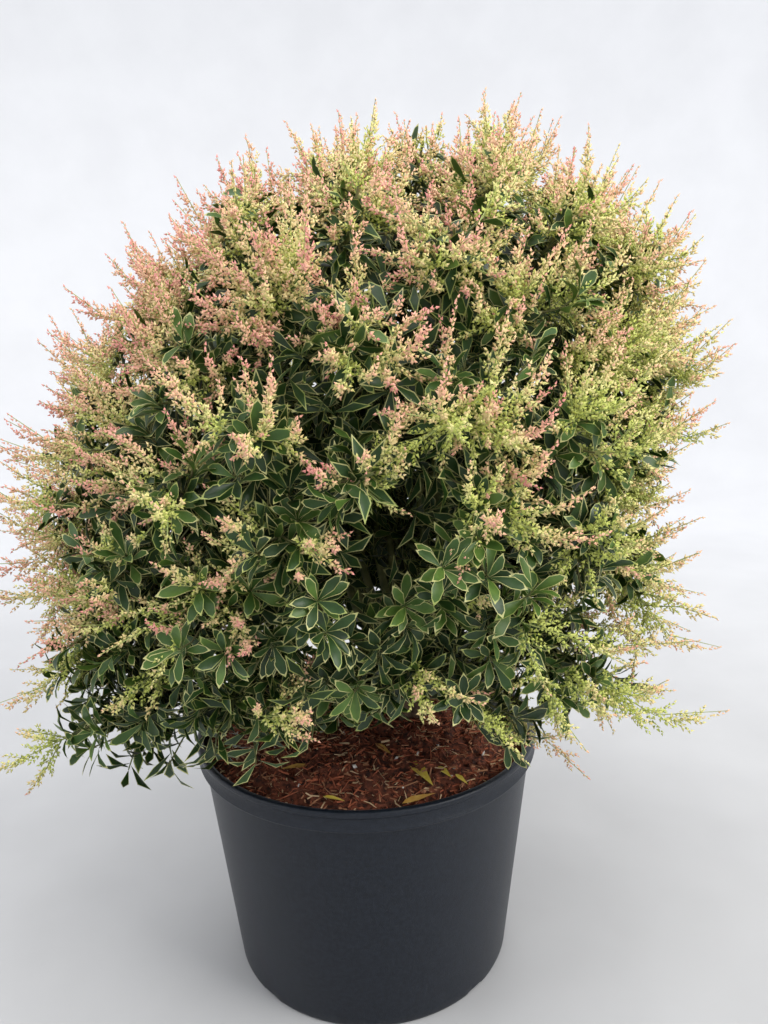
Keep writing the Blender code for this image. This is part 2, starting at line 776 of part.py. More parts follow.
def main():
    for old in list(bpy.data.objects):
        bpy.data.objects.remove(old)
    shrub = bpy.data.collections.new("pieris_shrub")
    cutters = bpy.data.collections.new("cutters")
    bpy.context.scene.collection.children.link(shrub)
    bpy.context.scene.collection.children.link(cutters)

    plastic = material("pot plastic", (0.030, 0.034, 0.040), 0.55)
    coir = material("soil", (0.130, 0.045, 0.025), 0.95)
    bark = material("bark", (0.120, 0.075, 0.045), 0.85)
    green_bark = material("green bark", (0.160, 0.190, 0.060), 0.65)
    leaf = material("leaf", (0.050, 0.130, 0.040), 0.45)
    blossom = material("blossom buds", (0.560, 0.300, 0.200), 0.60)

    make_pot(shrub, cutters, plastic)
    make_soil(shrub, coir)
    make_trunk(shrub, bark)
    clearances = [make_trunk(cutters, bark, "trunk_clearance", GAP)]

    plans = plan_masses()
    hubs = [hub for name, hub, path in plans]
    shares = [i / TRUNK_STATIONS for i in range(TRUNK_STATIONS + 1)]
    limbs = [([trunk_axis(s) for s in shares], [trunk_radius(s) for s in shares])]
    stems = {}
    for name, hub, path in plans:
        last = len(path) - 1
        radii = [
            BOUGH_RADIUS + (BOUGH_TIP_RADIUS - BOUGH_RADIUS) * i / last
            for i in range(len(path))
        ]
        bough = limb("bough_" + name, path, radii, BOUGH_SIDES, shrub, green_bark)
        cut_clear(bough, clearances)
        shade_round(bough, LIMB_SHARP_DEGREES)
        limbs.append((path, radii))
        ahead = (path[-1] - path[-2]).normalized()
        grown_path = path[:-1] + [path[-1] + ahead * LIMB_MARGIN]
        grown_radii = [radius + LIMB_MARGIN for radius in radii]
        grown = limb(
            "clearance_" + name, grown_path, grown_radii, BOUGH_SIDES, cutters, green_bark
        )
        clearances.append(grown)
        foot = path[-1] + ahead * GAP
        stems[name] = (
            [foot, foot + ahead * STEM_LENGTH * STEM_BEND_AT, hub],
            [BOUGH_TIP_RADIUS * share for share in STEM_TAPER],
        )

    for clearance in cutters.objects:
        clearance.hide_render = True
        clearance.display_type = "WIRE"

    shoots = {name: [] for name in stems}
    for k, direction in all_shoots():
        aim = crown_point(direction, HUB_DISTANCE)
        nearest = min(plans, key=lambda plan: (plan[1] - aim).length)
        shoots[nearest[0]].append((k, direction))
    for name, hub, path in plans:
        make_mass(
            "foliage_" + name,
            hub,
            stems[name],
            shoots[name],
            hubs,
            limbs,
            clearances,
            shrub,
            [leaf, blossom],
        )


main()
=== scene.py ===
"""The looks of a variegated pieris shrub in a round nursery pot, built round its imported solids.

The trunk and boughs follow the solids' own rule. Each mass of foliage is grown again from the same
hub and the same main shoots, which fork here into finer ones that carry whorls of cream-edged
leaves and panicles of blossom buds.

Lengths are in metres. An azimuth is in degrees from the front (-Y) towards +X, and an elevation in
degrees over the level.
"""

import math
import random

import bpy
import numpy as np
from mathutils import Matrix, Vector, noise


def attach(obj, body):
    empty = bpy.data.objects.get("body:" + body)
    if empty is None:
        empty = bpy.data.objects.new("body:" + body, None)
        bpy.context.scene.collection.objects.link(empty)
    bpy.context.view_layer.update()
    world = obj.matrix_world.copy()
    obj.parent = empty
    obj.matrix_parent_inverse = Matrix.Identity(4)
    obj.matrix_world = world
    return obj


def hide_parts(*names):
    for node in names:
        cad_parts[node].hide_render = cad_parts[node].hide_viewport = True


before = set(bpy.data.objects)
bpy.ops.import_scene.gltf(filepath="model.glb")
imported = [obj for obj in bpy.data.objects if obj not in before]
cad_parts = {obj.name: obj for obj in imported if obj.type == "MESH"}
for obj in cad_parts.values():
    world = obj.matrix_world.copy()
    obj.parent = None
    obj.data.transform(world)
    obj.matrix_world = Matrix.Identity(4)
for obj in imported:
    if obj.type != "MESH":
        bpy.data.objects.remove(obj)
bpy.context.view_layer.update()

# The pot and its soil, as in the solids
POT_HEIGHT = 0.262
RIM_RADIUS = 0.188
BASE_RADIUS = 0.154
WALL = 0.0025
BODY_FLARE = 0.112
SKIRT_HEIGHT = 0.022
FLOOR_TOP = 0.009
FOOT_WIDTH = 0.009
CHANNEL_INNER_RADIUS = 0.118
CHANNEL_HEIGHT = 0.005
SLOT_COUNT = 8
SLOT_WIDTH = 0.024
SOIL_TOP = 0.268
SOIL_EDGE = 0.243
SOIL_FLAT_RADIUS = 0.085
GAP = 0.0003

# The trunk and the boughs, as in the solids
TRUNK_FOOT = np.array([0.055, 0.0, SOIL_TOP + GAP])
TRUNK_TIP = np.array([0.036, 0.004, 0.368])
TRUNK_FOOT_RADIUS = 0.0125
TRUNK_TIP_RADIUS = 0.0090
ROOT_FLARE = 0.006
ROOT_FLARE_HEIGHT = 0.018
ROOT_COUNT = 5
ROOT_RIDGE = 0.28
BOUGH_RADIUS = 0.0046
BOUGH_TIP_RADIUS = 0.0034
BOUGH_BENDS = (0.60, 0.20)
BOUGH_STEPS = 24
ARRIVE_OUTWARDS = 0.83
LEAVE_TURN = 0.59
STEM_LENGTH = 0.078

# The crown and its main shoots, as in the solids
CROWN_CENTRE = np.array([0.0, 0.0, 0.56])
CROWN_LEAN = 0.22
CROWN_REACH = 0.332
LOWEST_SINE = -0.84
HUB_DISTANCE = 0.185
OVER_POT_FLOOR = 0.290
OUTER_FLOOR = 0.205
FLOOR_SLOPE = 0.0564
SPUR_WIDTH = 19
FLOWERING_SHARE = 0.92
SHOOT_COUNT = 118
SHOOT_BEND = 0.42
SHOOT_RISE = 0.34
SHOOT_RADIUS = 0.0024
LEAFY_REACH = 0.86
REACH_SPREAD = 0.055
GOLDEN_ANGLE = math.pi * (3 - math.sqrt(5))
# Boughs in each ring: their number, the ring's middle azimuth, the degrees between two of them, the
# elevation of their hubs, where along the trunk they leave it and at what elevation
RINGS = {
    "skirt": (5, 182, 70, -33, 0.35, 6),
    "side": (6, 188, 60, 2, 0.49, 29),
    "upper": (5, -30, 72, 43, 0.73, 46),
}
# Where the crown reaches further: azimuth, elevation and share of its reach
SPURS = (
    (-48, -36, 0.17),
    (52, -26, 0.20),
    (40, -44, 0.12),
    (66, 36, 0.05),
    (-140, -20, 0.08),
    (145, 10, 0.06),
)
# Where fewer shoots flower: azimuth, elevation, width in degrees and share taken off
LEAFY_PLACES = (
    (4, -20, 40, 0.75),
    (24, 32, 20, 0.60),
    (-30, 26, 14, 0.60),
    (-50, -42, 24, 0.55),
    (48, -42, 24, 0.60),
    (180, -42, 60, 0.55),
)
# Where no shoot grows: azimuth, elevation and half the width and height in degrees
WINDOW = (3, -20, 11, 15)

# The crown's finer form: where dark stems show between the leaves, set as WINDOW is
GAP_IN_LEAVES = (7, -8, 7, 13)
# Where the finer shoots flower less, set as LEAFY_PLACES is
LEAFIER_PLACES = ((-42, -42, 26, 0.50), (16, -44, 20, 0.30))
# Where the soil shows in front: azimuth, width in degrees and the height that foliage keeps over
RAISED_FLOORS = ((0, 36, 0.335), (19, 13, 0.375))
# Where the finer shoots reach past the main ones: azimuth, elevation, width in degrees and share
OUTGROWTHS = ((-80, -6, 32, 0.045), (58, -30, 13, 0.10), (-52, -34, 12, 0.06))

# The finer shoots
FINE_COUNT = 1060
FINE_SPREAD = (0.88, 1.055)
INNER_COUNT = 560
INNER_SPREAD = (0.64, 0.80)
FORK_SHARES = (0.28, 0.62)
SPIRE_LENGTHS = (0.062, 0.110)
LONGEST_SPIRE_SHARE = 0.62
LEAFY_TIP_LENGTH = 0.006
# How likely a finer shoot flowers: always, by the share of its place, and by how far up it points
FLOWERING_CHANCES = (0.30, 0.74, 0.35)
# How much a finer shoot turns up: at least, more on the sides and top, and at random
FINE_RISE = (0.12, 1.05, 0.34)
FINE_WANDER = 0.22
FINE_BENDS = (0.34, 0.48)
INNER_BENDS = (0.34, 0.30)
TWIG_RADII = (0.0013, 0.0009)
SHADE_TWIG_RADII = (0.0012, 0.0008)
OLD_WHORL_PLACES = np.linspace(0.04, 0.62, 5)
FILL_TWIGS = 12
FILL_SHARES = (0.40, 0.98)
FILL_LENGTHS = (0.03, 0.07)

# Leaves. A row of points has its share of the length, and outer and inner shares of half the width
LEAF_LENGTH = 0.0290
LEAF_WIDTH = 0.0090
LEAF_ROWS = {
    "outer": ((0.30, 0.50, 0.41), (0.62, 1.00, 0.87), (0.85, 0.68, 0.55)),
    "middle": ((0.40, 0.74, 0.62), (0.76, 0.94, 0.80)),
    "inner": ((0.60, 1.00, 0.80),),
}
LEAF_INNER_TIP = 0.915
LEAF_WIDTHS = (0.82, 1.15)
INNER_LEAF_WIDTH = 0.95
LEAF_CURLS = (0.25, 1.15)
LEAF_FOLDS = (0.10, 0.55)
LEAF_TURN_SPREAD = 0.25
LEAF_TWIST_SPREAD = 0.30
PITCH_AT_TIP = 0.75
PITCH_GROWTH = 0.40
YELLOW_MARGINS = 0.4
# Whorls: number of leaves, their pitch in degrees, shares of LEAF_LENGTH, the step along the twig
# from one leaf to the next, and how deep in the crown they stand
# Inner whorls are dressed only in the two darkest greens, as painted shade for the inside of the
# crown
WHORLS = {
    "spire foot": (6, (48, 84), (0.75, 1.08), 0.0016, "outer"),
    "leafy tip": (10, (22, 74), (0.80, 1.18), 0.0015, "outer"),
    "lower": (4, (55, 95), (0.90, 1.20), 0.0035, "middle"),
    "lowest": (6, (55, 95), (0.90, 1.20), 0.0035, "inner"),
    "shade tip": (9, (30, 95), (0.95, 1.35), 0.0030, "inner"),
    "shade foot": (6, (40, 95), (0.95, 1.35), 0.0035, "inner"),
    "old": (8, (50, 100), (1.00, 1.30), 0.0040, "inner"),
    "fill tip": (9, (25, 80), (0.85, 1.20), 0.0020, "outer"),
    "fill foot": (5, (50, 90), (0.85, 1.20), 0.0035, "inner"),
}
# Whorls under a finer shoot's first: how far down it at least and at most, and their kind
LOWER_WHORLS = ((0.016, 0.030, "lower"), (0.040, 0.062, "lowest"), (0.070, 0.100, "lowest"))
TOP_THINNING = 5

# Blossom
RACHIS_RADII = np.linspace(0.0008, 0.0003, 3)
STALK_WIDTH = 0.0007
BRANCHLET_SPACING = 0.0056
BRANCHLET_PITCH = (34, 64)
BRANCHLET_LENGTHS = (0.75, 1.25)
NARROW_PLUMES = 0.28
NARROW_BREADTH = 0.40
FORK_PITCH = (34, 76)
FORK_LENGTHS = (0.50, 0.82)
BUD_LENGTH = 0.0041
BUD_WIDTH = 0.74
BUD_SPACING = 0.0020
BUD_PITCH = (34, 68)
BUD_SIZES = (0.82, 1.15)
BUD_OPEN_END = 0.12
# How red the buds are all over, and where they are more or less so: azimuth, elevation, how much,
# and the power that narrows it
PINKNESS = 0.25
PINKER_PLACES = ((-50, 38, 0.20, 2), (80, 5, -0.07, 2), (15, -35, -0.08, 1))
PINKNESS_SPREAD = 0.13

# The pot turned finely
POT_STEPS = 240
SKIRT_FOOT = POT_HEIGHT - SKIRT_HEIGHT
ROLL_HEIGHT = 0.004
ROLL_REACH = 0.00375
ROLL_STEPS = 12
# The groove under the roll, the skirt and its bead, downwards: how far in from the rim's radius,
# and how far over the skirt's foot
SKIRT_PROFILE = (
    (0.0007, 0.0158),
    (0.0028, 0.0138),
    (0.0032, 0.0065),
    (0.0014, 0.0032),
    (0.0010, 0.0018),
    (0.0016, 0.0005),
    (0.0028, 0.0),
    (0.0050, 0.0004),
    (0.0056, 0.0020),
)
SKIRT_HOLLOW = 0.0065
SLOT_HEIGHT = 0.0045
NOTCH_COUNT = 12
FIRST_NOTCH = math.radians(-78)
NOTCH_HALF_WIDTH = math.radians(1.8)
NOTCH_HEIGHT = 0.0042

# The soil's surface. A layer of clods has its height, fineness and place in the noise
SOIL_RINGS = 64
SOIL_STEPS = 170
SOIL_SHOULDER_DROP = 0.009
CLODS = ((0.0055, 45, 3.1), (0.0058, 120, 7.7), (0.0034, 330, 1.3))
FIBRE_COUNT = 5600
FIBRE_WIDTHS = (0.0006, 0.0018)
CHIP_COUNT = 900
CHIP_LENGTHS = (0.002, 0.008)
# Yellow leaves that have dropped on the soil: x, y, heading in degrees and length
FALLEN_LEAVES = (
    (0.066, -0.140, 115, 0.052),
    (0.068, -0.147, 214, 0.040),
    (0.027, -0.097, 127, 0.028),
    (0.136, -0.115, 101, 0.023),
    (0.085, -0.128, 119, 0.025),
    (0.100, -0.134, 123, 0.020),
    (-0.018, -0.160, 160, 0.023),
    (-0.085, -0.110, 20, 0.030),
    (-0.020, 0.130, 40, 0.030),
    (0.070, 0.110, 120, 0.035),
    (-0.110, 0.060, 15, 0.030),
)
FALLEN_WIDTH = 0.27
FALLEN_LIFT = 0.006

# Colours: a darker and a lighter tone, linear, and for the greens their roughness
# The two darkest greens alone dress the leaves deep in the crown, as painted shade; elsewhere the
# tone is random
LEAF_GREENS = (
    ((0.009, 0.026, 0.005), (0.017, 0.044, 0.008), 0.40),
    ((0.015, 0.041, 0.007), (0.025, 0.062, 0.011), 0.40),
    ((0.026, 0.062, 0.009), (0.042, 0.092, 0.015), 0.42),
    ((0.046, 0.096, 0.014), (0.078, 0.140, 0.023), 0.42),
)
MARGIN_COLOURS = {
    "cream": ((0.35, 0.35, 0.12), (0.47, 0.45, 0.19)),
    "yellow": ((0.22, 0.27, 0.06), (0.33, 0.35, 0.10)),
}
BUD_COLOURS = {
    "green": ((0.46, 0.52, 0.09), (0.58, 0.61, 0.16)),
    "cream": ((0.64, 0.60, 0.19), (0.75, 0.70, 0.28)),
    "peach": ((0.70, 0.53, 0.22), (0.79, 0.62, 0.30)),
    "salmon": ((0.74, 0.42, 0.24), (0.82, 0.50, 0.31)),
    "pink": ((0.71, 0.32, 0.23), (0.79, 0.40, 0.29)),
    "red": ((0.62, 0.22, 0.18), (0.70, 0.29, 0.24)),
}
DULL_SPECULAR = 0.32

# The stage: a round floor that curves up into a wall, and how its glow grows with the distance
FLOOR_RADIUS = 2.4
CURVE_RADIUS = 0.9
BACKDROP_HEIGHT = 3.4
FLOOR_STEPS = 96
FLOOR_CLEARANCE = 0.0002
GLOW_FROM = 0.4
GLOW_STRENGTH = 0.46
GLOW_COLOUR = (0.93, 0.95, 1.0, 1)
# Lights: place, aim, energy, size and colour
LIGHTS = {
    "overhead": ((-0.2, -0.3, 2.3), (0, 0, 0.3), 42, (2.2, 2.0), (1, 1, 1)),
    "right": ((1.9, -1.1, 1.7), (0, 0, 0.5), 48, (1.2, 1.2), (1.0, 0.99, 0.96)),
    "left": ((-1.9, -0.7, 1.3), (0, 0, 0.4), 9, (0.5, 1.6), (0.95, 0.98, 1.0)),
    "back": ((0.3, 1.9, 1.9), (0, 0, 0.5), 12, (1.6, 1.2), (1, 1, 1)),
}
SKY_COLOUR = (0.80, 0.84, 0.90, 1)
SKY_STRENGTH = 0.36
CAMERA_PLACE = (0.026, -0.838, 0.675)
CAMERA_DOWN = math.radians(11.84)
CAMERA_ROLL = math.radians(-1.63)
CAMERA_LENS_MM = 28.125
CAMERA_SENSOR_MM = 36


def unit(v):
    return v / np.maximum(np.linalg.norm(v, axis=-1, keepdims=True), 1e-12)


def heading(azimuth, elevation):
    """Unit vector towards an azimuth and elevation."""
    turn = math.radians(azimuth)
    lift = math.radians(elevation)
    level = math.cos(lift)
    return np.array([math.sin(turn) * level, -math.cos(turn) * level, math.sin(lift)])


def crown_point(direction, distance):
    offset = direction * distance
    return CROWN_CENTRE + offset + [CROWN_LEAN * offset[2], 0, 0]


def closeness(direction, azimuth, elevation, width):
    """1 towards this azimuth and elevation, fading to nothing past this width in degrees."""
    cosine = float(direction @ heading(azimuth, elevation))
    away = math.acos(max(-1.0, min(1.0, cosine))) / math.radians(width)
    return math.exp(-away * away)


def crown_reach(direction):
    reach = CROWN_REACH
    for azimuth, elevation, share in SPURS:
        reach += CROWN_REACH * share * closeness(direction, azimuth, elevation, SPUR_WIDTH)
    return reach


def crown_floor(points):
    """Height under which nothing hangs, at each of these places."""
    outwards = (np.hypot(points[..., 0], points[..., 1]) - RIM_RADIUS) / FLOOR_SLOPE
    share = np.clip(outwards, 0, 1)
    height = OVER_POT_FLOOR + share * (OUTER_FLOOR - OVER_POT_FLOOR)
    turn = np.degrees(np.arctan2(points[..., 0], -points[..., 1]))
    for azimuth, width, raised in RAISED_FLOORS:
        height = height + np.exp(-(((turn - azimuth) / width) ** 2)) * (raised - height)
    return height


def in_window(direction, window, grow=1.0):
    azimuth, elevation, half_width, half_height = window
    turn = math.degrees(math.atan2(direction[0], -direction[1])) - azimuth
    lift = math.degrees(math.asin(direction[2])) - elevation
    return math.hypot(turn / half_width, lift / half_height) < grow


def flower_share(direction):
    share = FLOWERING_SHARE
    for azimuth, elevation, width, taken in LEAFY_PLACES:
        share -= taken * closeness(direction, azimuth, elevation, width)
    return share


def place_pinkness(direction):
    """How red the buds are on this side of the crown."""
    pinkness = PINKNESS
    for azimuth, elevation, more, power in PINKER_PLACES:
        pinkness += more * max(0.0, float(direction @ heading(azimuth, elevation))) ** power
    return pinkness


def bezier(start, leave, arrive, end, steps):
    t = np.linspace(0, 1, steps + 1)[:, None]
    s = 1 - t
    return start * s**3 + leave * 3 * s * s * t + arrive * 3 * s * t * t + end * t**3


def bent(start, first, final, end, shares, steps):
    """A path from one direction into another, each held over a share of its span."""
    span = np.linalg.norm(end - start)
    leave, arrive = shares
    return bezier(start, start + first * span * leave, end - final * span * arrive, end, steps)


def arc(start, bend, end, t):
    """Points at these shares of a curve that leaves its start towards the bend."""
    t = t[:, None]
    return start * (1 - t) ** 2 + bend * 2 * (1 - t) * t + end * t * t


def on_path(path, share):
    """Places on a polyline at shares of its number of steps."""
    share = np.clip(np.asarray(share, float), 0, 1) * (len(path) - 1)
    index = np.minimum(share.astype(int), len(path) - 2)
    rest = (share - index)[..., None]
    return path[index] * (1 - rest) + path[index + 1] * rest


def axis_on(path, share, half_step=0.04):
    """Directions of a polyline at these shares."""
    return unit(on_path(path, share + half_step) - on_path(path, share - half_step))


def length_of(path):
    return np.linalg.norm(np.diff(path, axis=0), axis=1).sum()


def leaning(axis, spoke, lean):
    """Directions that lean from an axis towards a spoke by these angles, in radians."""
    lean = np.asarray(lean)[..., None]
    return axis * np.cos(lean) + spoke * np.sin(lean)


def spokes(axis, turn):
    """Unit vectors square to each axis, at these angles round it, in radians."""
    helper = np.where(np.abs(axis[..., 2:3]) < 0.9, [0.0, 0.0, 1.0], [1.0, 0.0, 0.0])
    across = unit(np.cross(axis, helper))
    return leaning(across, np.cross(axis, across), turn)


def even_turns(count):
    return np.arange(count) * 2 * math.pi / count


def golden_turns(rng, count):
    return rng.uniform(0, 2 * math.pi) + np.arange(count) * GOLDEN_ANGLE


def golden_direction(k, count):
    sine = 1 - (1 - LOWEST_SINE) * (k + 0.5) / count
    level = math.sqrt(1 - sine * sine)
    turn = k * GOLDEN_ANGLE
    return np.array([math.sin(turn) * level, -math.cos(turn) * level, sine])


def over_floor(direction, reach):
    """The tip at this reach, drawn in until it hangs over the crown's floor."""
    tip = crown_point(direction, reach)
    while tip[2] < crown_floor(tip) and reach > HUB_DISTANCE:
        reach *= 0.97
        tip = crown_point(direction, reach)
    return tip


def trunk_axis(share):
    lean = TRUNK_TIP - TRUNK_FOOT
    return TRUNK_FOOT + lean * [share**1.6, share**1.6, share]


def bough_end(hub, outwards, start):
    straight = unit(hub - start)
    arrive = unit(straight * (1 - ARRIVE_OUTWARDS) + outwards * ARRIVE_OUTWARDS)
    return hub - arrive * STEM_LENGTH, arrive


def plan_masses():
    """Name, hub and bough path of each mass, as in the solids."""
    plans = []
    for ring, (count, middle, apart, elevation, share, leave) in RINGS.items():
        for i in range(count):
            azimuth = middle + (i - (count - 1) / 2) * apart
            outwards = heading(azimuth, elevation)
            hub = crown_point(outwards, HUB_DISTANCE)
            start = trunk_axis(share)
            end, arrive = bough_end(hub, outwards, start)
            span = end - start
            turn = (math.degrees(math.atan2(span[0], -span[1])) - azimuth + 180) % 360 - 180
            first = heading(azimuth + LEAVE_TURN * turn, leave)
            path = bent(start, first, arrive, end, BOUGH_BENDS, BOUGH_STEPS)
            plans.append((f"{ring}_{i + 1}", hub, path))
    hub = crown_point(heading(0, 90), HUB_DISTANCE)
    first = unit(trunk_axis(1.0) - trunk_axis(0.9))
    start = trunk_axis(1.0) - first * GAP * 4
    end, arrive = bough_end(hub, heading(0, 90), start)
    plans.append(("top_1", hub, bent(start, first, arrive, end, BOUGH_BENDS, BOUGH_STEPS)))
    return plans


def plan_shoots(hubs):
    """The solids' main shoots: mass number, direction and bent path of each."""
    mains = []
    for k in range(SHOOT_COUNT):
        direction = golden_direction(k, SHOOT_COUNT)
        if in_window(direction, WINDOW):
            continue
        dice = random.Random(k)
        flowering = dice.random() < flower_share(direction)
        spread = 1 + dice.uniform(-REACH_SPREAD, REACH_SPREAD)
        reach = crown_reach(direction) * spread * (1 if flowering else LEAFY_REACH)
        aim = crown_point(direction, HUB_DISTANCE)
        mass = int(np.argmin([np.linalg.norm(hub - aim) for hub in hubs]))
        hub = hubs[mass]
        tip = over_floor(direction, reach)
        final = unit(direction + [0, 0, SHOOT_RISE])
        bend = tip - final * np.linalg.norm(tip - hub) * SHOOT_BEND
        mains.append((mass, direction, arc(hub, bend, tip, np.linspace(0, 1, 13))))
    return mains


class Mesh:
    """Collects vertices and faces from arrays, and makes one object of them."""

    def __init__(self):
        self.vertices = []
        self.faces = []
        self.tones = []
        self.count = 0

    def add(self, vertices, faces, tones):
        """Vertices (n, 3), faces (m, 3 or 4) and the material number of each face."""
        vertices = np.asarray(vertices, np.float64).reshape(-1, 3)
        self.faces.append(np.asarray(faces) + self.count)
        self.vertices.append(vertices)
        self.tones.append(np.broadcast_to(tones, len(faces)))
        self.count += len(vertices)

    def add_copies(self, vertices, faces, tones):
        """Copies (n, points, 3) of one shape, its faces and the material number of each copy."""
        self.add(vertices, copied_faces(faces, vertices), np.repeat(tones, len(faces)))

    def make(self, name, materials):
        vertices = np.concatenate(self.vertices)
        sizes = np.concatenate([np.full(len(f), f.shape[1]) for f in self.faces])
        corners = np.concatenate([f.ravel() for f in self.faces])
        mesh = bpy.data.meshes.new(name)
        mesh.vertices.add(len(vertices))
        mesh.vertices.foreach_set("co", vertices.ravel())
        mesh.loops.add(len(corners))
        mesh.loops.foreach_set("vertex_index", corners)
        mesh.polygons.add(len(sizes))
        starts = np.concatenate([[0], np.cumsum(sizes)[:-1]])
        mesh.polygons.foreach_set("loop_start", starts)
        mesh.polygons.foreach_set("loop_total", sizes)
        mesh.polygons.foreach_set("material_index", np.concatenate(self.tones))
        mesh.polygons.foreach_set("use_smooth", np.full(len(sizes), True))
        for material in materials:
            mesh.materials.append(material)
        mesh.update(calc_edges=True)
        made = bpy.data.objects.new(name, mesh)
        bpy.context.scene.collection.objects.link(made)
        return made


def copied_faces(faces, copies):
    """The faces of one shape, repeated for copies (n, points, 3) of it."""
    first = np.arange(len(copies))[:, None, None] * copies.shape[1]
    return (faces + first).reshape(-1, 3)


def ring_faces(count, rings, sides):
    """Faces of tubes whose vertices are numbered by tube, ring and side."""
    first = np.arange(count * rings * sides).reshape(count, rings, sides)
    after = np.roll(first, -1, axis=2)
    corners = [first[:, :-1], after[:, :-1], after[:, 1:], first[:, 1:]]
    return np.stack(corners, axis=-1).reshape(-1, 4)


def turned_over(faces):
    return faces[:, [0, 3, 2, 1]]


def tubes(paths, radii, sides):
    """Vertices and faces of round tubes, for paths (n, stations, 3) and radii (n, stations)."""
    ahead = unit(np.gradient(paths, axis=1))
    ring = spokes(ahead[:, :, None], even_turns(sides))
    vertices = paths[:, :, None] + ring * radii[:, :, None, None]
    return vertices, ring_faces(*radii.shape, sides)


def ribbons(paths, width):
    """Flat stalks along short paths (n, stations, 3), each turned to a side of its own."""
    count, stations = paths.shape[:2]
    width = np.broadcast_to(width, count)[:, None, None]
    ahead = unit(np.gradient(paths, axis=1))
    side = spokes(ahead, (np.arange(count) * GOLDEN_ANGLE)[:, None]) * width / 2
    vertices = np.stack([paths - side, paths + side], axis=2)
    first = np.arange(count * stations * 2).reshape(count, stations, 2)
    corners = [first[:, :-1, 0], first[:, :-1, 1], first[:, 1:, 1], first[:, 1:, 0]]
    return vertices, np.stack(corners, axis=-1).reshape(-1, 4)


def lathe(profile, turns):
    """Vertices (row, turn, 3) of a profile (radius, height) turned round the upright axis."""
    radius = profile[:, 0, None]
    height = np.repeat(profile[:, 1, None], len(turns), axis=1)
    return np.stack([radius * np.cos(turns), radius * np.sin(turns), height], axis=-1)


def leaf_template(rows, edged):
    """Places (across, along), blade faces and margin faces of a leaf, from its root to its tip."""
    last = len(rows) + 1
    places = [(0.0, 0.0)] + [(0.0, along) for along, outer, inner in rows] + [(0.0, 1.0)]
    places.append((0.0, LEAF_INNER_TIP))
    blade = []
    margin = []
    for side in (-1, 1):
        first = len(places)
        places += [(side * (inner if edged else outer), along) for along, outer, inner in rows]
        if edged:
            places += [(side * outer, along) for along, outer, inner in rows]
        within = [0] + [first + i for i in range(len(rows))]
        edge = [0] + [first + len(rows) + i for i in range(len(rows))]
        halves = [(0, within[1], 1)]
        strips = [(0, edge[1], within[1])]
        for i in range(1, len(rows)):
            halves += [(i, within[i], within[i + 1]), (i, within[i + 1], i + 1)]
            strips += [(within[i], edge[i], edge[i + 1]), (within[i], edge[i + 1], within[i + 1])]
        halves.append((last - 1, within[-1], last + 1 if edged else last))
        strips += [(within[-1], edge[-1], last), (within[-1], last, last + 1)]
        blade += [face[::-side] for face in halves]
        margin += [face[::-side] for face in strips] if edged else []
    return np.array(places), np.array(blade), np.array(margin, int).reshape(-1, 3)


def over_crown_floor(shapes):
    return (shapes[..., 2] > crown_floor(shapes)).all(axis=-1)


def add_leaves(
    mesh, rows, root, along, flat, length, width, curl, fold, tones, margins, fallen=False
):
    """Adds arched, folded leaves. Each tone is the material number of a blade or margin.

    Fallen leaves have no margin, and lie under the crown's floor.
    """
    places, blade, margin = leaf_template(rows, not fallen)
    across = unit(np.cross(along, flat))
    u, v = places.T
    bend = curl[:, None]
    forward = np.sin(bend * v) / bend
    drop = (1 - np.cos(bend * v)) / bend
    half = width[:, None] / 2
    lift = fold[:, None] * np.abs(u) * half - drop * length[:, None]
    vertices = (
        root[:, None]
        + across[:, None] * (u * half)[..., None]
        + along[:, None] * (forward * length[:, None])[..., None]
        + flat[:, None] * lift[..., None]
    )
    clear = over_crown_floor(vertices) | fallen
    vertices = vertices[clear]
    faces = np.concatenate([copied_faces(blade, vertices), copied_faces(margin, vertices)])
    kinds = [np.repeat(tones[clear], len(blade)), np.repeat(margins[clear], len(margin))]
    mesh.add(vertices, faces, np.concatenate(kinds))


def add_buds(mesh, root, along, length, width, tones):
    """Adds buds of three faces that meet in their tip and stand open towards the stalk."""
    spoke = spokes(along[:, None], even_turns(3))
    foot = root + along * (length * BUD_OPEN_END)[:, None]
    ring = foot[:, None] + spoke * (width / 2)[:, None, None]
    tip = (root + along * length[:, None])[:, None]
    vertices = np.concatenate([ring, tip], axis=1)
    clear = over_crown_floor(vertices)
    mesh.add_copies(vertices[clear], np.array([(0, 1, 3), (1, 2, 3), (2, 0, 3)]), tones[clear])


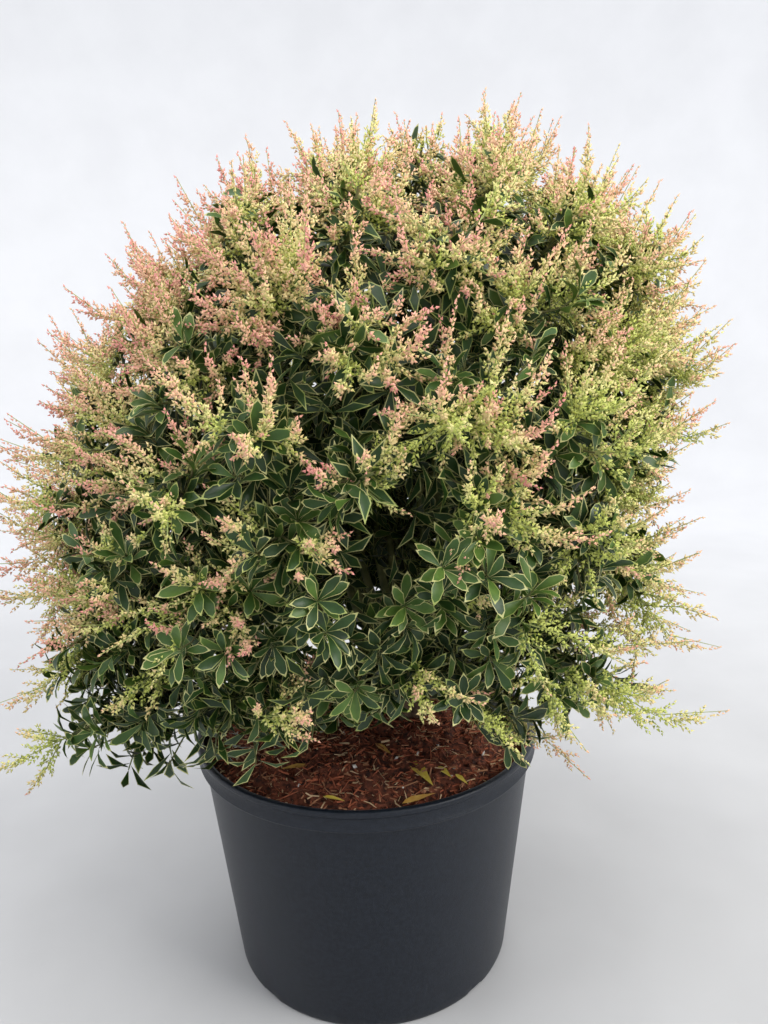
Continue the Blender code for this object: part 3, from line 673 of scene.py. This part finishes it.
class Foliage:
    """Grows the twigs, leaves and blossom of one mass."""

    def __init__(self, seed):
        self.rng = np.random.default_rng(seed)
        self.leaves = {"outer": [], "middle": [], "inner": []}
        self.twig_paths = []
        self.twig_radii = []
        self.rachis_paths = []
        self.stalks = []
        self.buds = []

    def twig(self, path, first, last):
        t = np.linspace(0, 1, 5)
        self.twig_paths.append(on_path(path, t))
        self.twig_radii.append(first + (last - first) * t)

    def whorl(self, kind, place, axis, fewer=0):
        """Leaves all round an axis, the first ones nearest its tip."""
        rng = self.rng
        count, pitch, lengths, step, depth = WHORLS[kind]
        count -= fewer
        turn = golden_turns(rng, count) + rng.normal(0, LEAF_TURN_SPREAD, count)
        spoke = spokes(axis, turn)
        opening = PITCH_AT_TIP + PITCH_GROWTH * np.arange(count) / count
        lean = np.radians(rng.uniform(*pitch, count)) * opening
        along = leaning(axis, spoke, lean)
        flat = leaning(-spoke, axis, lean)
        flat = leaning(flat, np.cross(along, flat), rng.normal(0, LEAF_TWIST_SPREAD, count))
        root = place - axis * (np.arange(count) * step)[:, None]
        length = LEAF_LENGTH * rng.uniform(*lengths, count)
        width = LEAF_WIDTH * rng.uniform(*LEAF_WIDTHS, count) * (length / LEAF_LENGTH) ** 0.5
        if depth == "inner":
            width *= INNER_LEAF_WIDTH
        curl = rng.uniform(*LEAF_CURLS, count)
        fold = rng.uniform(*LEAF_FOLDS, count)
        tone = int(rng.integers(0, len(LEAF_GREENS)))
        # Painted shade: leaves deep in the crown take only the two darkest greens, standing in for
        # the shadow inside the crown
        lightest_green_with_painted_shade = 1 if depth == "inner" else len(LEAF_GREENS) - 1
        tones = np.clip(tone + rng.integers(-1, 2, count), 0, lightest_green_with_painted_shade)
        margins = len(LEAF_GREENS) + (rng.random(count) < YELLOW_MARGINS)
        shape = (root, along, flat, length, width, curl, fold, tones, margins)
        self.leaves[depth].append(shape)

    def buds_along(self, place, axis, t, up, pinkness):
        """Buds round the axes at these places, smaller towards t of 1 and redder with up."""
        rng = self.rng
        count = len(t)
        spoke = spokes(axis, golden_turns(rng, count))
        lean = np.radians(rng.uniform(*BUD_PITCH, count)) * (1 - 0.55 * t**2)
        along = leaning(axis, spoke, lean)
        size = (1.05 - 0.30 * t) * rng.uniform(*BUD_SIZES, count)
        root = place + spoke * 0.0004 + along * (0.0008 * (1 - t))[:, None]
        red = pinkness + 0.86 * (up - 0.47) + rng.normal(0, 0.07, count)
        most = len(BUD_COLOURS)
        tones = np.clip((red * most).astype(int), 0, most - 1)
        width = BUD_LENGTH * BUD_WIDTH * size
        self.buds.append((root, along, BUD_LENGTH * size, width, tones))

    def plume(self, path, pinkness):
        """A spire: a green axis with short branchlets of buds, shorter towards its tip."""
        rng = self.rng
        span = length_of(path)
        self.rachis_paths.append(on_path(path, np.linspace(0, 1, len(RACHIS_RADII))))

        count = max(4, int(span / BRANCHLET_SPACING))
        share = 0.05 + 0.78 * (np.arange(count) + rng.uniform(0, 0.7, count)) / count
        start = on_path(path, share)
        axis = axis_on(path, share, 0.05)
        spoke = spokes(axis, golden_turns(rng, count))
        out = leaning(axis, spoke, np.radians(rng.uniform(*BRANCHLET_PITCH, count)))
        breadth = NARROW_BREADTH if rng.random() < NARROW_PLUMES else 1.0
        length = span * (0.05 + 0.25 * (1 - share))
        length = length * rng.uniform(*BRANCHLET_LENGTHS, count) * breadth
        half = (length * 0.5)[:, None]
        bend = start + out * half
        end = bend + unit(out * 0.6 + axis * 0.4 + [0, 0, 0.1]) * half
        self.stalks.append(np.stack([start, end], axis=1))

        counts = (length / BUD_SPACING).astype(int) + 2
        which = np.repeat(np.arange(count), counts)
        order = np.concatenate([np.arange(n) for n in counts])
        t = (order + 0.6) / counts[which]
        start, bend, end = start[which], bend[which], end[which]
        axis = unit((bend - start) * (1 - t)[:, None] + (end - bend) * t[:, None])
        up = share[which] + 0.30 * t * (1 - share[which])
        self.buds_along(arc(start, bend, end, t), axis, t, up, pinkness)

        count = max(5, int(span * 0.5 / BUD_SPACING))
        t = 0.48 + 0.52 * (np.arange(count) + 0.5) / count
        self.buds_along(on_path(path, t), axis_on(path, t), t, t, pinkness)

    def panicle(self, path, pinkness, extra):
        """A main spire, with others that fork from its foot and spread over the leaves."""
        rng = self.rng
        span = length_of(path)
        self.plume(path, pinkness)
        turn = rng.uniform(0, 2 * math.pi)
        for i in range(int(rng.integers(1, 4)) + extra):
            start = on_path(path, 0.02 + 0.06 * i)
            axis = unit(on_path(path, 0.12) - path[0])
            turn += GOLDEN_ANGLE + rng.normal(0, 0.2)
            out = leaning(axis, spokes(axis, turn), math.radians(rng.uniform(*FORK_PITCH)))
            length = span * rng.uniform(*FORK_LENGTHS)
            final = unit(out * 0.65 + axis * 0.35 + [0, 0, rng.uniform(-0.25, 0.45)])
            bend = start + out * length * 0.5
            side = arc(start, bend, bend + final * length * 0.5, np.linspace(0, 1, 6))
            if over_crown_floor(side):
                self.plume(side, pinkness + rng.normal(0, 0.05))

    def flowers(self, direction):
        """Whether the next finer shoot on this side of the crown flowers."""
        always, by_place, by_height = FLOWERING_CHANCES
        chance = always + by_place * flower_share(direction) + by_height * max(0.0, direction[2])
        for azimuth, elevation, width, taken in LEAFIER_PLACES:
            chance -= taken * closeness(direction, azimuth, elevation, width)
        return self.rng.random() < chance

    def shoot(self, start, out, direction, reach):
        """A finer shoot that leaves a main one and turns upwards to its own tip."""
        rng = self.rng
        flowering = self.flowers(direction)
        reach = reach * rng.uniform(*FINE_SPREAD) * (1 if flowering else LEAFY_REACH)
        for azimuth, elevation, width, share in OUTGROWTHS:
            reach *= 1 + share * closeness(direction, azimuth, elevation, width)
        tip = over_floor(direction, reach)
        span = np.linalg.norm(tip - start)
        lift = min(1.0, max(0.0, (direction[2] + 0.70) / 0.75))
        least, more, spread = FINE_RISE
        rise = least + more * lift + rng.normal(0, spread)
        final = unit(direction + [0, 0, rise] + rng.normal(0, FINE_WANDER, 3))
        path = bent(start, out, final, tip, FINE_BENDS, 14)
        spire = LEAFY_TIP_LENGTH
        if flowering:
            spire = min(rng.uniform(*SPIRE_LENGTHS), span * LONGEST_SPIRE_SHARE)
        node = 1 - spire / span
        self.twig(on_path(path, np.linspace(0, node, 8)), *TWIG_RADII)
        place = on_path(path, node)
        axis = axis_on(path, node)
        if flowering:
            pinkness = place_pinkness(direction) + rng.normal(0, PINKNESS_SPREAD)
            extra = int(direction[2] > 0.4) + int(direction[0] > 0.55)
            self.panicle(on_path(path, np.linspace(node, 1, 8)), pinkness, extra)
            self.whorl("spire foot", place, axis, int(TOP_THINNING * max(0.0, direction[2])))
        else:
            self.whorl("leafy tip", place, axis)
        for low, high, kind in LOWER_WHORLS:
            lower = node - rng.uniform(low, high) / span
            if lower > 0.08:
                self.whorl(kind, on_path(path, lower), axis_on(path, lower))

    def inner_shoot(self, start, out, direction, reach):
        """A short leafy shoot in the shade under the crown's surface."""
        tip = over_floor(direction, reach)
        final = unit(direction + self.rng.normal(0, 0.3, 3))
        path = bent(start, out, final, tip, INNER_BENDS, 8)
        self.twig(path, *SHADE_TWIG_RADII)
        self.whorl("shade tip", tip, final)
        if direction[2] < -0.25:
            self.whorl("shade foot", on_path(path, 0.65), axis_on(path, 0.65, 0.05))

    def dress(self, path):
        """Older leaves along a main shoot, inside the crown."""
        for share in OLD_WHORL_PLACES:
            self.whorl("old", on_path(path, share), axis_on(path, share))

    def fill(self, path):
        """Short leafy twigs from a bough, in the shade under the crown."""
        rng = self.rng
        for share in rng.uniform(*FILL_SHARES, FILL_TWIGS):
            start = on_path(path, share)
            axis = axis_on(path, share)
            out = unit(spokes(axis, rng.uniform(0, 2 * math.pi)) + axis * 0.5)
            end = start + out * rng.uniform(*FILL_LENGTHS)
            end = end + [0, 0, rng.uniform(-0.02, 0.02)]
            if in_window(unit(end - CROWN_CENTRE), WINDOW, 1.2):
                continue
            if end[2] < crown_floor(end) + 0.01:
                continue
            twig = bezier(start, start + out * 0.015, end - out * 0.015, end, 6)
            self.twig(twig, *TWIG_RADII)
            self.whorl("fill tip", end, unit(end - start))
            self.whorl("fill foot", on_path(twig, 0.55), out)

    def make(self, name, of_leaves, of_buds, of_twigs):
        """Joins what has grown into one object of each kind, with its finishes."""
        leaves = Mesh()
        for depth, grown in self.leaves.items():
            columns = [np.concatenate(parts) for parts in zip(*grown)]
            add_leaves(leaves, LEAF_ROWS[depth], *columns)
        blossom = Mesh()
        add_buds(blossom, *[np.concatenate(parts) for parts in zip(*self.buds)])
        twigs = Mesh()
        twigs.add(*tubes(np.array(self.twig_paths), np.array(self.twig_radii), 3), 0)
        radii = np.tile(RACHIS_RADII, (len(self.rachis_paths), 1))
        twigs.add(*tubes(np.array(self.rachis_paths), radii, 3), 1)
        twigs.add(*ribbons(np.concatenate(self.stalks), STALK_WIDTH), 1)
        return [
            leaves.make("leaves_" + name, of_leaves),
            blossom.make("blossom_" + name, of_buds),
            twigs.make("twigs_" + name, of_twigs),
        ]


def set_sockets(node, values):
    for socket, value in values.items():
        node.inputs[socket].default_value = value
    return node


def finish(name, colour, roughness, second, scale, bump=None, bump_scale=None):
    """Principled material whose colour wanders between two tones, some with a fine relief."""
    made = bpy.data.materials.new(name)
    made.use_nodes = True
    made.diffuse_color = (*colour, 1)
    nodes = made.node_tree.nodes
    links = made.node_tree.links
    shader = nodes["Principled BSDF"]
    set_sockets(shader, {"Base Color": (*colour, 1), "Roughness": roughness})
    place = nodes.new("ShaderNodeTexCoord")
    pattern = set_sockets(nodes.new("ShaderNodeTexNoise"), {"Scale": scale, "Detail": 4.0})
    links.new(place.outputs["Object"], pattern.inputs["Vector"])
    ramp = nodes.new("ShaderNodeValToRGB")
    for stop, position, tone in zip(ramp.color_ramp.elements, (0.36, 0.66), (colour, second)):
        stop.position = position
        stop.color = (*tone, 1)
    links.new(pattern.outputs["Fac"], ramp.inputs["Fac"])
    links.new(ramp.outputs["Color"], shader.inputs["Base Color"])
    if bump:
        grain = set_sockets(nodes.new("ShaderNodeTexNoise"), {"Scale": bump_scale, "Detail": 5.0})
        links.new(place.outputs["Object"], grain.inputs["Vector"])
        relief = set_sockets(nodes.new("ShaderNodeBump"), {"Strength": bump, "Distance": 0.001})
        links.new(grain.outputs["Fac"], relief.inputs["Height"])
        links.new(relief.outputs["Normal"], shader.inputs["Normal"])
    return made


def make_dull(made):
    set_sockets(made.node_tree.nodes["Principled BSDF"], {"Specular IOR Level": DULL_SPECULAR})
    return made


def body_radius(height):
    return BASE_RADIUS + BODY_FLARE * height


def pot_profile():
    """The pot's section (radius, height), from its middle inside over the rim to that below."""
    profile = [
        (0.0, FLOOR_TOP),
        (body_radius(FLOOR_TOP) - WALL, FLOOR_TOP),
        (body_radius(SKIRT_FOOT) - WALL, SKIRT_FOOT),
    ]
    for i in range(ROLL_STEPS + 1):
        turn = math.pi * i / ROLL_STEPS
        reach = math.copysign(abs(math.cos(turn)) ** 0.8, -math.cos(turn))
        height = POT_HEIGHT - ROLL_HEIGHT + ROLL_HEIGHT * math.sin(turn) ** 0.7
        profile.append((RIM_RADIUS - ROLL_REACH + ROLL_REACH * reach, height))
    profile += [(RIM_RADIUS - inwards, SKIRT_FOOT + up) for inwards, up in SKIRT_PROFILE]
    profile.append((body_radius(SKIRT_FOOT + 0.006) + 0.0004, SKIRT_FOOT + SKIRT_HOLLOW))
    profile += [(body_radius(h), h) for h in (SKIRT_FOOT - 0.002, 0.12, 0.012, 0.004)]
    profile += [
        (BASE_RADIUS - 0.0008, 0.001),
        (BASE_RADIUS - 0.002, 0.0),
        (BASE_RADIUS - FOOT_WIDTH, 0.0),
        (BASE_RADIUS - FOOT_WIDTH - 0.001, CHANNEL_HEIGHT),
        (CHANNEL_INNER_RADIUS, CHANNEL_HEIGHT),
        (CHANNEL_INNER_RADIUS, 0.0),
        (0.0, 0.0),
    ]
    return np.array(profile)


def near_repeat(turns, count, first, half_width):
    """Which of these angles lie near one of the places that repeat round the pot."""
    every = 2 * math.pi / count
    return np.abs((turns - first + every / 2) % every - every / 2) < half_width


def make_pot(plastic):
    """The pot turned finely, with foot slots and the small notches under its skirt."""
    profile = pot_profile()
    turns = even_turns(POT_STEPS)
    vertices = lathe(profile, turns)
    radius, height = profile.T
    low = (height < SLOT_HEIGHT) & (radius > BASE_RADIUS - FOOT_WIDTH - 0.0005)
    in_slot = near_repeat(turns, SLOT_COUNT, 0.0, SLOT_WIDTH / 2 / BASE_RADIUS)
    vertices[np.ix_(low, in_slot, [2])] = SLOT_HEIGHT
    edge = (np.abs(height - SKIRT_FOOT) < 0.00045) & (radius > RIM_RADIUS - 0.006)
    in_notch = near_repeat(turns, NOTCH_COUNT, FIRST_NOTCH, NOTCH_HALF_WIDTH)
    vertices[np.ix_(edge, in_notch, [2])] = SKIRT_FOOT + NOTCH_HEIGHT
    mesh = Mesh()
    mesh.add(vertices, turned_over(ring_faces(1, *vertices.shape[:2])), 0)
    made = mesh.make("pot_body", [plastic])
    made.data.set_sharp_from_angle(angle=math.radians(40))
    return made


def soil_height(x, y):
    """Height of the mounded soil, with clods."""
    wall = body_radius(SOIL_EDGE) - WALL
    base = np.interp(
        np.hypot(x, y),
        [0, SOIL_FLAT_RADIUS, (SOIL_FLAT_RADIUS + RIM_RADIUS) / 2, wall],
        [SOIL_TOP, SOIL_TOP, SOIL_TOP - SOIL_SHOULDER_DROP, SOIL_EDGE],
    )
    clods = [
        sum(high * noise.noise(Vector((px * fine, py * fine, at))) for high, fine, at in CLODS)
        for px, py in zip(np.ravel(x), np.ravel(y))
    ]
    return base + np.reshape(clods, np.shape(x)) - 0.001


def on_soil(x, y, lift=0.0):
    """Places on the soil's surface, or this far over it."""
    return np.stack([x, y, soil_height(x, y) + lift], axis=-1)


def scatter(rng, count, radius, lift):
    """Random places on the soil within this radius."""
    place = radius * np.sqrt(rng.random(count))
    turn = rng.uniform(0, 2 * math.pi, count)
    return on_soil(place * np.cos(turn), place * np.sin(turn), lift)


def add_fibres(mesh, rng, radius):
    middle = scatter(rng, FIBRE_COUNT, radius * 0.985, 0.0008)
    way = rng.uniform(0, 2 * math.pi, FIBRE_COUNT)
    long = rng.gamma(3.0, 0.0030, FIBRE_COUNT)[:, None]
    flat = np.stack([np.cos(way), np.sin(way), rng.normal(0, 0.22, FIBRE_COUNT)], axis=-1)
    sag = rng.normal(0, 0.20, (FIBRE_COUNT, 3)) * long
    ends = [middle - flat * long / 2, middle + sag * 0.5, middle + flat * long / 2]
    paths = np.stack(ends, axis=1)
    paths = paths[np.hypot(paths[..., 0], paths[..., 1]).max(axis=1) < radius - 0.001]
    count = len(paths)
    vertices, faces = ribbons(paths, rng.uniform(*FIBRE_WIDTHS, count))
    tones = rng.choice([1, 2, 3], count, p=[0.6, 0.28, 0.12])
    mesh.add(vertices, faces, np.repeat(tones, len(faces) // count))


def add_chips(mesh, rng, radius):
    """Chips of bark: square in the middle, and pointed at both ends."""
    root = scatter(rng, CHIP_COUNT, radius * 0.97, -0.0005)
    along = unit(rng.normal(0, 1, (CHIP_COUNT, 3)) * [1, 1, 0.35])
    long = rng.uniform(*CHIP_LENGTHS, CHIP_COUNT)[:, None]
    tones = rng.choice([0, 1, 2, 4], CHIP_COUNT, p=[0.35, 0.35, 0.2, 0.1])
    wide = long * rng.uniform(0.35, 0.8, CHIP_COUNT)[:, None]
    middle = (root + along * (long / 2))[:, None]
    ring = middle + spokes(along[:, None], even_turns(4)) * (wide / 2)[:, None]
    ends = np.stack([root, root + along * long], axis=1)
    faces = []
    for side in range(4):
        after = (side + 1) % 4
        faces += [(0, 2 + after, 2 + side), (1, 2 + side, 2 + after)]
    mesh.add_copies(np.concatenate([ends, ring], axis=1), np.array(faces), tones)


def add_fallen_leaves(mesh, rng):
    count = len(FALLEN_LEAVES)
    x, y, way, long = np.array(FALLEN_LEAVES).T
    way = np.radians(way)
    root = on_soil(x, y, FALLEN_LIFT)
    along = unit(np.stack([np.cos(way), np.sin(way), rng.uniform(0, 0.18, count)], axis=-1))
    up = [0.0, 0.0, 1.0] + rng.normal(0, 0.15, (count, 3))
    flat = unit(np.cross(along, np.cross(up, along)))
    tones = rng.choice([5, 6], count)
    curl = rng.uniform(0.02, 0.18, count)
    fold = rng.uniform(0.1, 0.3, count)
    shape = (root, along, flat, long, FALLEN_WIDTH * long, curl, fold)
    add_leaves(mesh, LEAF_ROWS["outer"], *shape, tones, tones, fallen=True)


def make_soil(finishes):
    """A mound with clods under loose fibres, chips of bark and fallen leaves."""
    rng = np.random.default_rng(5)
    wall = body_radius(SOIL_EDGE) - WALL - 0.0002
    radius = np.linspace(0, wall, SOIL_RINGS)[:, None]
    turns = even_turns(SOIL_STEPS)
    vertices = on_soil(radius * np.cos(turns), radius * np.sin(turns))
    mesh = Mesh()
    mesh.add(vertices, turned_over(ring_faces(1, *vertices.shape[:2])), 0)
    add_fibres(mesh, rng, wall)
    add_chips(mesh, rng, wall)
    add_fallen_leaves(mesh, rng)
    return mesh.make("soil_mound", finishes)


def make_limb(name, path, radii, sides, relief, bark):
    """A limb with ridged bark: its radius wanders round it and along it."""
    vertices, faces = tubes(path[None], radii[None], sides)
    rings = vertices.reshape(-1, sides, 3)
    for ring, centre, radius in zip(rings, path, radii):
        for vertex in ring:
            out = (vertex - centre) / radius
            ridge = noise.noise(Vector(out * 2.2 + centre * 60))
            crack = noise.noise(Vector(out * 5.0 + centre * 160))
            vertex += out * radius * relief * (ridge + 0.6 * crack)
    mesh = Mesh()
    mesh.add(rings, faces, 0)
    return mesh.make(name, [bark])


def make_trunk(bark):
    """The trunk from just under the soil's top, with its root flare."""
    trunk_height = TRUNK_TIP[2] - TRUNK_FOOT[2]
    share = np.linspace(-0.08, 1.0, 60)
    path = np.array([trunk_axis(max(0.0, s)) + [0, 0, min(0.0, s) * 0.1] for s in share])
    over_soil = np.clip(share, 0, 1)
    flare = ROOT_FLARE * np.exp(-over_soil * trunk_height / ROOT_FLARE_HEIGHT * 2)
    radii = TRUNK_FOOT_RADIUS + (TRUNK_TIP_RADIUS - TRUNK_FOOT_RADIUS) * over_soil
    made = make_limb("trunk_bark", path, radii + flare, 40, 0.10, bark)
    for vertex in made.data.vertices:
        rise = max(0.0, vertex.co.z - TRUNK_FOOT[2])
        axis = trunk_axis(min(1.0, rise / trunk_height))
        out = Vector((vertex.co.x - axis[0], vertex.co.y - axis[1], 0))
        fade = math.exp(-rise / ROOT_FLARE_HEIGHT)
        turn = math.atan2(out.y, out.x)
        vertex.co += out * ROOT_RIDGE * fade * math.cos(ROOT_COUNT * turn)
    return made


def leaf_finishes():
    """The greens from dark to light, then the margins, as whorls number them."""
    greens = [
        make_dull(finish(f"leaf green {number}", dark, roughness, light, 90, 0.15, 260))
        for number, (dark, light, roughness) in enumerate(LEAF_GREENS, 1)
    ]
    margins = [
        finish("leaf margin " + name, dark, 0.45, light, 120)
        for name, (dark, light) in MARGIN_COLOURS.items()
    ]
    return greens + margins


def bud_finishes():
    return [
        finish("bud " + name, dark, 0.5, light, 150) for name, (dark, light) in BUD_COLOURS.items()
    ]


def twig_finishes():
    return [
        finish("twig bark", (0.10, 0.13, 0.035), 0.6, (0.17, 0.15, 0.06), 80, 0.3, 500),
        finish("flower stalk", (0.30, 0.38, 0.10), 0.5, (0.38, 0.40, 0.14), 120),
    ]


def soil_finishes():
    return [
        finish("soil dark", (0.030, 0.009, 0.005), 0.95, (0.22, 0.060, 0.028), 190, 1.0, 600),
        finish("fibre red", (0.31, 0.080, 0.036), 0.9, (0.43, 0.125, 0.058), 300),
        finish("fibre brown", (0.34, 0.150, 0.075), 0.9, (0.44, 0.21, 0.11), 300),
        finish("fibre straw", (0.56, 0.39, 0.22), 0.85, (0.66, 0.48, 0.29), 300),
        finish("perlite", (0.66, 0.62, 0.56), 0.9, (0.76, 0.74, 0.70), 300),
        finish("fallen leaf yellow", (0.62, 0.46, 0.05), 0.6, (0.72, 0.58, 0.12), 200),
        finish("fallen leaf ochre", (0.52, 0.27, 0.05), 0.6, (0.62, 0.38, 0.09), 200),
    ]


def pot_finish():
    dark = (0.0036, 0.0062, 0.0115)
    light = (0.0078, 0.0115, 0.019)
    return make_dull(finish("pot plastic", dark, 0.38, light, 240, 0.30, 900))


def grow_shoots(growths, mains):
    """Dresses the main shoots, then grows the finer and the inner ones from them."""
    for mass, direction, path in mains:
        growths[mass].twig(path[:10], SHOOT_RADIUS, TWIG_RADII[0])
        growths[mass].dress(path)
    directions = np.array([direction for mass, direction, path in mains])
    for count, inner in ((FINE_COUNT, False), (INNER_COUNT, True)):
        for k in range(count):
            direction = golden_direction(k, count)
            if in_window(direction, GAP_IN_LEAVES):
                continue
            mass, _, path = mains[int(np.argmax(directions @ direction))]
            growth = growths[mass]
            share = growth.rng.uniform(*FORK_SHARES)
            start = on_path(path, share)
            out = axis_on(path, share)
            reach = crown_reach(direction)
            if inner:
                low = max(0.0, -direction[2] - 0.35)
                reach *= growth.rng.uniform(*INNER_SPREAD) + 0.45 * low
                growth.inner_shoot(start, out, direction, reach)
            else:
                growth.shoot(start, out, direction, reach)


def main():
    pot = make_pot(pot_finish())
    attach(pot, "root")
    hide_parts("pot")

    soil = make_soil(soil_finishes())
    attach(soil, "root")
    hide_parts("soil")

    bark = finish("bark", (0.075, 0.042, 0.024), 0.85, (0.17, 0.11, 0.065), 120, 0.9, 420)
    trunk = make_trunk(bark)
    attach(trunk, "root")
    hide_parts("trunk")

    young_bark = finish("young bark", (0.10, 0.12, 0.03), 0.6, (0.20, 0.20, 0.06), 70, 0.5, 400)
    plans = plan_masses()
    growths = [Foliage(number) for number in range(len(plans))]
    for (name, hub, path), growth in zip(plans, growths):
        radii = np.linspace(BOUGH_RADIUS, BOUGH_TIP_RADIUS, len(path))
        bough = make_limb("limb_" + name, path, radii, 14, 0.09, young_bark)
        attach(bough, "root")
        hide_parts("bough_" + name)
        ahead = unit(path[-1] - path[-2])
        stem = bezier(path[-1], path[-1] + ahead * STEM_LENGTH * 0.4, hub - ahead * 0.01, hub, 6)
        growth.twig(stem, BOUGH_TIP_RADIUS, BOUGH_TIP_RADIUS * 0.7)
        growth.fill(path)

    grow_shoots(growths, plan_shoots([hub for name, hub, path in plans]))
    finishes = (leaf_finishes(), bud_finishes(), twig_finishes())
    for (name, hub, path), growth in zip(plans, growths):
        for made in growth.make(name, *finishes):
            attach(made, "root")
            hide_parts("foliage_" + name)


def make_backdrop():
    """A pale floor that curves up into a wall all round, and glows more the further out it is."""
    paper = finish("pale floor", (0.44, 0.44, 0.445), 0.6, (0.48, 0.48, 0.485), 4)
    nodes = paper.node_tree.nodes
    links = paper.node_tree.links
    away = nodes.new("ShaderNodeVectorMath")
    away.operation = "LENGTH"
    links.new(nodes["Texture Coordinate"].outputs["Object"], away.inputs[0])
    growth = {"From Min": GLOW_FROM, "From Max": FLOOR_RADIUS, "To Min": 0, "To Max": GLOW_STRENGTH}
    glow = set_sockets(nodes.new("ShaderNodeMapRange"), growth)
    links.new(away.outputs["Value"], glow.inputs["Value"])
    shader = set_sockets(nodes["Principled BSDF"], {"Emission Color": GLOW_COLOUR})
    # Without this, each sample also seeks light on the floor's many faces, which is slow
    paper.cycles.emission_sampling = "NONE"
    links.new(glow.outputs["Result"], shader.inputs["Emission Strength"])

    profile = [(0.0, 0.0), (FLOOR_RADIUS, 0.0)]
    for t in np.linspace(0.1, math.pi / 2, 14):
        up = CURVE_RADIUS - CURVE_RADIUS * math.cos(t)
        profile.append((FLOOR_RADIUS + CURVE_RADIUS * math.sin(t), up))
    profile.append((FLOOR_RADIUS + CURVE_RADIUS, BACKDROP_HEIGHT))
    vertices = lathe(np.array(profile), even_turns(FLOOR_STEPS)) - [0, 0, FLOOR_CLEARANCE]
    mesh = Mesh()
    mesh.add(vertices, ring_faces(1, *vertices.shape[:2]), 0)
    mesh.make("floor", [paper])


def light(name, place, aim, energy, size, colour):
    made = bpy.data.lights.new(name, "AREA")
    made.energy = energy
    made.color = colour
    made.shape = "RECTANGLE"
    made.size, made.size_y = size
    lamp = bpy.data.objects.new(name, made)
    lamp.location = place
    lamp.rotation_euler = (Vector(aim) - Vector(place)).to_track_quat("-Z", "Y").to_euler()
    bpy.context.scene.collection.objects.link(lamp)


def make_sky():
    world = bpy.data.worlds.new("studio")
    world.use_nodes = True
    sky = {"Color": SKY_COLOUR, "Strength": SKY_STRENGTH}
    set_sockets(world.node_tree.nodes["Background"], sky)
    bpy.context.scene.world = world


def make_photo_camera():
    camera = bpy.data.cameras.new("photo camera")
    camera.lens = CAMERA_LENS_MM
    camera.sensor_width = CAMERA_SENSOR_MM
    camera.clip_start = 0.05
    seat = bpy.data.objects.new("photo camera", camera)
    tilt = Matrix.Rotation(math.pi / 2 - CAMERA_DOWN, 4, "X")
    roll = Matrix.Rotation(CAMERA_ROLL, 4, "Z")
    seat.matrix_world = Matrix.Translation(CAMERA_PLACE) @ tilt @ roll
    bpy.context.scene.collection.objects.link(seat)
    bpy.context.scene.camera = seat


def make_stage():
    make_backdrop()
    for name, settings in LIGHTS.items():
        light(name, *settings)
    make_sky()
    make_photo_camera()
    bpy.context.scene.view_settings.view_transform = "Standard"


main()
make_stage()
